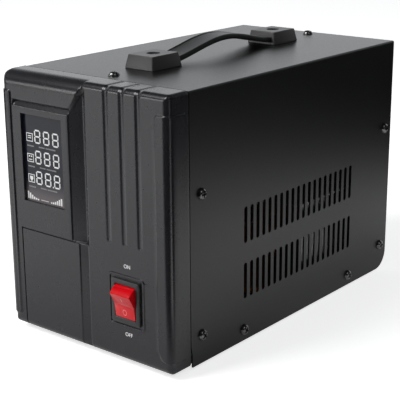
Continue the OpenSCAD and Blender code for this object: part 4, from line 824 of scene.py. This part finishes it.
def ring_mark(radius, stroke, centre_up, up, squash=0.8):
    """Ring on a rocker face, as short plates side by side: at an angle t the corners lie at
    r sin t squashed across, and r cos t along the face."""
    angles = np.linspace(0, 2 * math.pi, 25)
    plates = []
    for a, b in zip(angles[:-1], angles[1:]):
        corners = ((radius, a), (radius, b), (radius - stroke, b), (radius - stroke, a))
        outline = [(r * math.sin(t) * squash, centre_up + r * math.cos(t)) for r, t in corners]
        plates.append(on_face(outline, up))
    return join(plates)


piece("switch_case", *housing(), BLACK, slot="black_plastic", stands_for=("switch_housing",))
piece("rocker_key", *rocker(), RED, body="rocker", slot="red_plastic",
      stands_for=("switch_rocker",), crease=26.0)
piece("rocker_mark_off", *ring_mark(2.2, 0.5, 5.2, -1), MARK, body="rocker", slot="red_plastic")
piece("rocker_mark_on", *on_face([(-0.25, 3.4), (0.25, 3.4), (0.25, 6.4), (-0.25, 6.4)], 1), MARK,
      body="rocker", slot="red_plastic")


# ---------------------------------------------------------------- printed words

CAPITAL = 0.7
PRINT_H = 2.6
PRINT_HALF_T = 0.03
PRINT_BOLD = 0.05


def word(name, text, x, z):
    """Printed word on the front face, centred at a place."""
    curve = bpy.data.curves.new(name, "FONT")
    curve.body = text
    curve.size = PRINT_H / CAPITAL * MM
    curve.align_x = "CENTER"
    curve.align_y = "CENTER"
    curve.extrude = PRINT_HALF_T * MM
    curve.offset = PRINT_BOLD * MM
    typed = bpy.data.objects.new(name + "_type", curve)
    bpy.context.scene.collection.objects.link(typed)
    bpy.context.view_layer.update()
    mesh = bpy.data.meshes.new_from_object(typed)
    bpy.data.objects.remove(typed)
    points = np.zeros(len(mesh.vertices) * 3)
    mesh.vertices.foreach_get("co", points)
    right, up, out = points.reshape(-1, 3).T
    placed = np.stack([right + x * MM, -out + (FRONT - PRINT_HALF_T) * MM, up + z * MM], -1)
    mesh.vertices.foreach_set("co", placed.ravel())
    mesh.materials.clear()
    mesh.materials.append(PRINT.material)
    made = bpy.data.objects.new(name, mesh)
    bpy.context.scene.collection.objects.link(made)
    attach(made, "case")


word("print_on", "ON", 37.9, 72.1)
word("print_off", "OFF", 38.1, 24.0)


# ---------------------------------------------------------------- handle

HANDLE_MID = 6.5
BLOCK_Y = 70.5
STRAP_REACH = BLOCK_Y - 15.5
STRAP_LOW, STRAP_ARCH = 5.2, 9.0
STRAP_TUCK = 8.0
BLOCK_SEAT = 5.5


def strap_rise(d):
    """Height of the strap's upper face above the cover at a distance d from its middle: STRAP_LOW,
    and STRAP_ARCH times the mean of cos 90 t and 3 u^2 - 2 u^3, where t = d / STRAP_REACH and
    u = 1 - t."""
    t = np.clip(np.abs(d) / STRAP_REACH, 0, 1)
    u = 1 - t
    arch = (np.cos(np.radians(90 * t)) + u * u * (3 - 2 * u)) / 2
    return np.where(np.abs(d) > STRAP_REACH, STRAP_LOW, STRAP_LOW + STRAP_ARCH * arch)


def strap():
    """The strap's section, flat with two raised edges and round corners, carried along its arch."""
    half_x = np.array([7.0, 7.5, 7.9, 8.3, 8.9, 9.25, 9.5])
    half_z = np.array([0.0, 0.08, 0.35, 0.55, 0.5, 0.25, -0.35])
    low_x = np.array([9.5, 9.35, 8.8, 7.5])
    low_z = np.array([-2.5, -3.05, -3.35, -3.4])
    x = np.concatenate([-half_x[::-1], [0.0], half_x, low_x, [0.0], -low_x[::-1]])
    z = np.concatenate([half_z[::-1], [0.0], half_z, low_z, [-3.4], low_z[::-1]])
    half = STRAP_REACH + STRAP_TUCK
    d = np.linspace(-half, half, 97)[:, None]
    return loft(np.stack(np.broadcast_arrays(x, HANDLE_MID + d, ROOF + strap_rise(d) + z), -1))


def handle_block(way):
    """A block as a skin through a stack of loops, each one with its width, length, corner and
    height: soft foot, sides that draw in, soft upper edge, and the round recess of the screw."""
    stack = (
        (25.6, 30.6, 1.2, 0.0), (26.0, 31.0, 1.2, 0.3), (25.9, 30.9, 1.2, 0.9),
        (22.7, 27.7, 1.0, 8.9), (22.4, 27.4, 0.9, 9.3), (21.9, 26.9, 0.8, 9.5),
        (10.2, 10.2, 5.09, 9.5), (9.6, 9.6, 4.79, 9.25),
        (9.4, 9.4, 4.69, BLOCK_SEAT), (4.0, 4.0, 1.99, BLOCK_SEAT),
    )
    centre = (0.0, HANDLE_MID + way * BLOCK_Y)
    return loft([plan_loop(rounded_loop(*size), ROOF + up, centre) for *size, up in stack])


piece("strap", *strap(), STRAP, slot="strap_rubber", stands_for=("handle_strap",))
piece("block_front", *handle_block(-1), HANDLE, slot="handle_plastic",
      stands_for=("handle_block_front",))
piece("block_rear", *handle_block(1), HANDLE, slot="handle_plastic",
      stands_for=("handle_block_rear",))


# ---------------------------------------------------------------- screws

WAYS = {
    "right": np.array([[0, 0, 1], [0, 1, 0], [-1, 0, 0]], float),
    "left": np.array([[0, 0, -1], [0, 1, 0], [1, 0, 0]], float),
    "up": np.eye(3),
}
ROUND = 48
HEAD_SHARES = (1.0, 0.99, 0.96, 0.9, 0.8, 0.7, 0.6, 0.5, 0.42, 0.34, 0.26, 0.18, 0.1)
CROSS_HALF_W, CROSS_REACH, CROSS_DEPTH, CROSS_SOFT = 0.115, 0.55, 0.55, 0.12
COVER_OUT = 74.4
SIDE_SCREWS = ((-104.0, 121.0), (-104.0, 23.0), (126.5, 121.0), (126.5, 23.0), (-57.5, 10.8),
               (78.5, 10.8))
ROOF_SCREWS = (-104.0, 126.5)
CASE_SCREW = (1.9, 7, 4.0, 2.6)
STRAP_SCREW = (2.4, 9, 4.6, 3.0)


def screw(place, way, size, turn):
    """Pan head with a cross recess over a plain shank; size is the shank's radius and length and
    the head's radius and height. At a share q of its radius the head's height is its own height
    times (1 - q^4)^0.7, and the cross lowers it by CROSS_DEPTH of it."""
    shank_r, length, head_r, head_h = size
    angles = np.arange(ROUND) * 2 * math.pi / ROUND
    c, s = np.cos(angles), np.sin(angles)
    loops = [np.stack([shank_r * c, shank_r * s, np.full(ROUND, z)], -1) for z in (-length, 0.0)]
    for share in HEAD_SHARES:
        x, y = head_r * share * c, head_r * share * s
        half, reach = CROSS_HALF_W * head_r, CROSS_REACH * head_r
        arm = np.maximum(
            np.minimum(half - np.abs(x), reach - np.abs(y)),
            np.minimum(half - np.abs(y), reach - np.abs(x)),
        )
        dome = head_h * (1 - share ** 4) ** 0.7
        z = dome - CROSS_DEPTH * head_h * soft(arm, CROSS_SOFT * head_r)
        loops.append(np.stack([x, y, z], -1))
    points, faces = loft(loops)
    c, s = math.cos(turn), math.sin(turn)
    spun = points @ np.array([[c, s, 0], [-s, c, 0], [0, 0, 1]])
    return spun @ WAYS[way].T + np.asarray(place, float), faces


turns = np.random.default_rng(4).uniform(0, math.pi / 2, 64)
heads = []
for number, (y, z) in enumerate(SIDE_SCREWS):
    heads.append(screw((COVER_OUT, y, z), "right", CASE_SCREW, turns[number]))
    heads.append(screw((-COVER_OUT, y, z), "left", CASE_SCREW, turns[number + 10]))
for number, y in enumerate(ROOF_SCREWS):
    heads.append(screw((0, y, ROOF), "up", CASE_SCREW, turns[number + 20]))
piece("case_screws", *join(heads), DARK_SCREW, slot="dark_screw", stands_for=("cover_screws",))
heads = []
for way in (-1, 1):
    place = (0, HANDLE_MID + way * BLOCK_Y, ROOF + BLOCK_SEAT)
    heads.append(screw(place, "up", STRAP_SCREW, 0.4 + way))
piece("strap_screws", *join(heads), PLATED, slot="bright_screw", stands_for=("handle_screws",))


# ---------------------------------------------------------------- finishes of the frame's own nodes

NODE_FINISH = {
    "cover": POWDER, "rear_panel": POWDER, "chassis_base": ZINC, "front_plate": ZINC,
    "lcd_module": PANE, "display_board": BOARD, "display_screws": BRIGHT, "plate_screws": BRIGHT,
    "switch_terminals": BRASS, "handle_band": ZINC, "handle_nuts": BRIGHT,
    "foot_front_left": FOOT, "foot_front_right": FOOT, "foot_rear_left": FOOT,
    "foot_rear_right": FOOT, "foot_screws": BRIGHT, "socket_left": BLACK, "socket_right": BLACK,
    "socket_contacts_left": BRASS, "socket_contacts_right": BRASS, "socket_screws": BRIGHT,
    "inlet_housing": BLACK, "inlet_pins": BRASS, "inlet_screws": BRIGHT,
    "breaker_body": BLACK, "breaker_button": BUTTON, "breaker_nut": BRIGHT,
    "earth_stud": BRASS, "earth_nut": BRASS, "ring_pad": FOOT, "ring_core": CORE,
    "ring_winding": COPPER, "ring_clamp": LAMINATE, "ring_bolts": BRIGHT,
    "motor_bracket": BRACKET, "servo_motor": BRACKET, "motor_pinion": BRASS, "drive_gear": GEAR,
    "arm_shaft": BRIGHT, "brush_arm": BRACKET, "carbon_brush": CARBON, "brush_spring": BRIGHT,
    "control_board": BOARD, "board_spacers": BRASS, "relay": RELAY, "capacitors": SLEEVE,
    "trimmer_rotor": GEAR, "small_transformer": CORE,
    "wire_red": RED_LEAD, "wire_blue": BLUE_LEAD, "wire_earth": EARTH_LEAD,
}
for name, finish in NODE_FINISH.items():
    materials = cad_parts[name].data.materials
    if not materials:
        materials.append(finish.material)
    for number in range(len(materials)):
        materials[number] = finish.material


# ---------------------------------------------------------------- floor, light, camera, in metres

# World: the backdrop that reflections see, by direction, and the levels of the room
WALL_WAY = (0.62, 0.78)
WALL_TOP = (0.30, 0.66)
WALL_SIDE = (-0.70, -0.20)
WALL_LIGHT = 1.15
ROOM_LIGHT = 0.015
ROOM_COLOUR = (0.95, 0.975, 1.0, 1.0)
EVEN_LIGHT = 0.24
CAMERA_WHITE = 1.1

# Floor: its own light for the camera, and the part of it that reflections see
FLOOR_REACH = 6.0
FLOOR_SHADE = 0.8
FLOOR_DARK = 0.01
FLOOR_OWN = 0.7
FLOOR_LIGHT = 0.46
SIGHT_LINE = (0.775, 0.63, 0.1405)
FADE_BACK_RIGHT = (0.24, 0.60)
FADE_FRONT_RIGHT = (0.005, 0.10)
FADE_BACK_LEFT = (0.30, 0.50)

# Floor light that reflections see near the case, with painted shade in a soft margin at the case,
# and patches of it by their fades
CASE_HALF = (0.075, 0.137)
CASE_SHADE, CASE_SHADE_FADE = 0.22, (0.16, 0.0)
FRONT_PATCH, FRONT_FADE = 0.25, (-0.80, -0.35)
SIDE_PATCH, SIDE_FADE = 0.30, (0.08, -0.02)
RIGHT_PATCH, RIGHT_FADES = 0.9, ((0.02, 0.07), (-0.62, -0.25))
LEFT_PATCH, LEFT_FADES = 0.8, ((-0.24, -0.14), (0.06, 0.14))
EDGE_STRIP, STRIP_FADES = 2.2, ((0.02, 0.06), (0.25, 0.12))
STRIP_WAY = (0.16, 0.987)

# Lamps: place, target, width, height and power
LAMPS = {
    "front_light": ((-0.7, -1.3, 1.6), (0, -0.1, 0.1), 0.9, 0.9, 29),
    "low_window": ((-1.0, -1.3, 0.34), (0, -0.07, 0.19), 0.5, 0.3, 3.2),
    "side_light": ((1.5, -0.5, 1.6), (0, 0, 0.08), 0.7, 0.9, 3),
}

EYE = (0.50269, -0.63121, 0.32465)
LOOK = (-0.604042, 0.741322, -0.292531)
ROLL = -0.364
LENS, SENSOR = 99.64, 36.0


class Surroundings(Shading):
    """The emptied node tree of the world or the floor, with signals for the kinds of rays and for
    the place or direction."""

    def __init__(self, tree, place):
        super().__init__(tree)
        tree.nodes.clear()
        self.camera_ray = self.ray("Is Camera Ray")
        self.mirror_ray = self.ray("Is Glossy Ray").larger(self.ray("Is Transmission Ray"))
        point = self.add("ShaderNodeTexCoord", {}, {}, out=place)
        self.x, self.y, self.z = [
            self.add("ShaderNodeSeparateXYZ", {}, {0: point}, out=letter) for letter in "XYZ"]

    def ray(self, kind):
        return self.add("ShaderNodeLightPath", {}, {}, out=kind)

    def close(self, kind, shader):
        """Adds the output node and links the shader to it."""
        self.put(self.tree.nodes.new(kind).inputs["Surface"], shader)


def studio_world():
    """White to the camera. Reflections see a white backdrop low behind the object, and the dark
    room above and before it; the rest of the light is dim and even."""
    world = bpy.data.worlds.new("studio")
    world.use_nodes = True
    room = Surroundings(world.node_tree, "Generated")
    behind = room.x * WALL_WAY[0] - room.y * WALL_WAY[1]
    wall = room.z.fade(*WALL_TOP) * behind.fade(*WALL_SIDE)
    seen = wall * (WALL_LIGHT - ROOM_LIGHT) + ROOM_LIGHT
    level = (seen - EVEN_LIGHT) * room.mirror_ray + EVEN_LIGHT
    level = level.larger(room.camera_ray * CAMERA_WHITE)
    inputs = {"Color": ROOM_COLOUR, "Strength": level}
    room.close("ShaderNodeOutputWorld", room.add("ShaderNodeBackground", {}, inputs))
    bpy.context.scene.world = world


def pale_floor():
    """Wide pale floor: diffuse, with light of its own for camera rays, and for reflections in an
    area near the object, with painted shade as a soft dark margin at the case and brighter patches
    beyond it."""
    material = bpy.data.materials.new("pale_floor")
    material.use_nodes = True
    ground = Surroundings(material.node_tree, "Object")
    x, y = ground.x, ground.y
    back_right = (x + y) * math.sqrt(0.5)
    front_right = x * SIGHT_LINE[0] - y * SIGHT_LINE[1] - SIGHT_LINE[2]
    back_left = -front_right
    near = back_right.fade(*FADE_BACK_RIGHT) * front_right.fade(*FADE_FRONT_RIGHT)
    near = near * back_left.fade(*FADE_BACK_LEFT)

    # Painted shade: the floor light that reflections see is dimmed in a soft margin round the
    # case's foot.
    from_case = (abs(x) - CASE_HALF[0]).larger(abs(y) - CASE_HALF[1])
    away = from_case.fade(*CASE_SHADE_FADE) * (1.0 - CASE_SHADE) + CASE_SHADE
    away = away + back_right.fade(*FRONT_FADE) * FRONT_PATCH
    away = away + back_right.fade(*SIDE_FADE) * SIDE_PATCH
    right = back_left.fade(*RIGHT_FADES[0]) * back_right.fade(*RIGHT_FADES[1])
    left = x.fade(*LEFT_FADES[0]) * (-y).fade(*LEFT_FADES[1])
    away = away + right * RIGHT_PATCH + left * LEFT_PATCH
    aside = (y + CASE_HALF[1]) * STRIP_WAY[1] + x * STRIP_WAY[0]
    strip = abs(aside).fade(*STRIP_FADES[0]) * x.fade(*STRIP_FADES[1])
    glow = (near * away * FLOOR_LIGHT + strip * EDGE_STRIP) * ground.mirror_ray

    own = {"Strength": ground.camera_ray * FLOOR_OWN + glow}
    lit = ground.add("ShaderNodeEmission", {}, own)
    far_mirror = ground.mirror_ray * (1.0 - near)
    shade = FLOOR_SHADE - far_mirror * (FLOOR_SHADE - FLOOR_DARK)
    diffuse = ground.add("ShaderNodeBsdfDiffuse", {}, {"Color": shade})
    both = ground.add("ShaderNodeAddShader", {}, {0: diffuse, 1: lit})
    ground.close("ShaderNodeOutputMaterial", both)

    r = FLOOR_REACH
    mesh = bpy.data.meshes.new("floor")
    mesh.from_pydata([(-r, -r, 0), (r, -r, 0), (r, r, 0), (-r, r, 0)], [], [(0, 1, 2, 3)])
    mesh.materials.append(material)
    made = bpy.data.objects.new("floor", mesh)
    bpy.context.scene.collection.objects.link(made)


def facing(place, target, roll=0.0):
    """Matrix of something at a place that looks along its own -Z at a target, level but for the
    roll."""
    place, target = Vector(place), Vector(target)
    back = (place - target).normalized()
    right = Vector((0, 0, 1)).cross(back).normalized()
    turn = Matrix((right, back.cross(right), back)).transposed().to_4x4()
    return Matrix.Translation(place) @ turn @ Matrix.Rotation(math.radians(roll), 4, "Z")


def softbox(name, place, target, width, height, power):
    """Rectangular lamp at a place that faces a target."""
    lamp = bpy.data.lights.new(name, "AREA")
    lamp.shape = "RECTANGLE"
    lamp.size, lamp.size_y = width, height
    lamp.energy = power
    holder = bpy.data.objects.new(name, lamp)
    bpy.context.scene.collection.objects.link(holder)
    holder.matrix_world = facing(place, target)
    holder.visible_camera = False


studio_world()
pale_floor()
for name, lamp in LAMPS.items():
    softbox(name, *lamp)

camera_data = bpy.data.cameras.new("camera")
camera_data.sensor_width = SENSOR
camera_data.lens = LENS
camera = bpy.data.objects.new("camera", camera_data)
bpy.context.scene.collection.objects.link(camera)
camera.matrix_world = facing(EYE, np.array(EYE) + LOOK, ROLL)
bpy.context.scene.camera = camera
bpy.context.scene.view_settings.view_transform = "Standard"

bpy.context.view_layer.update()
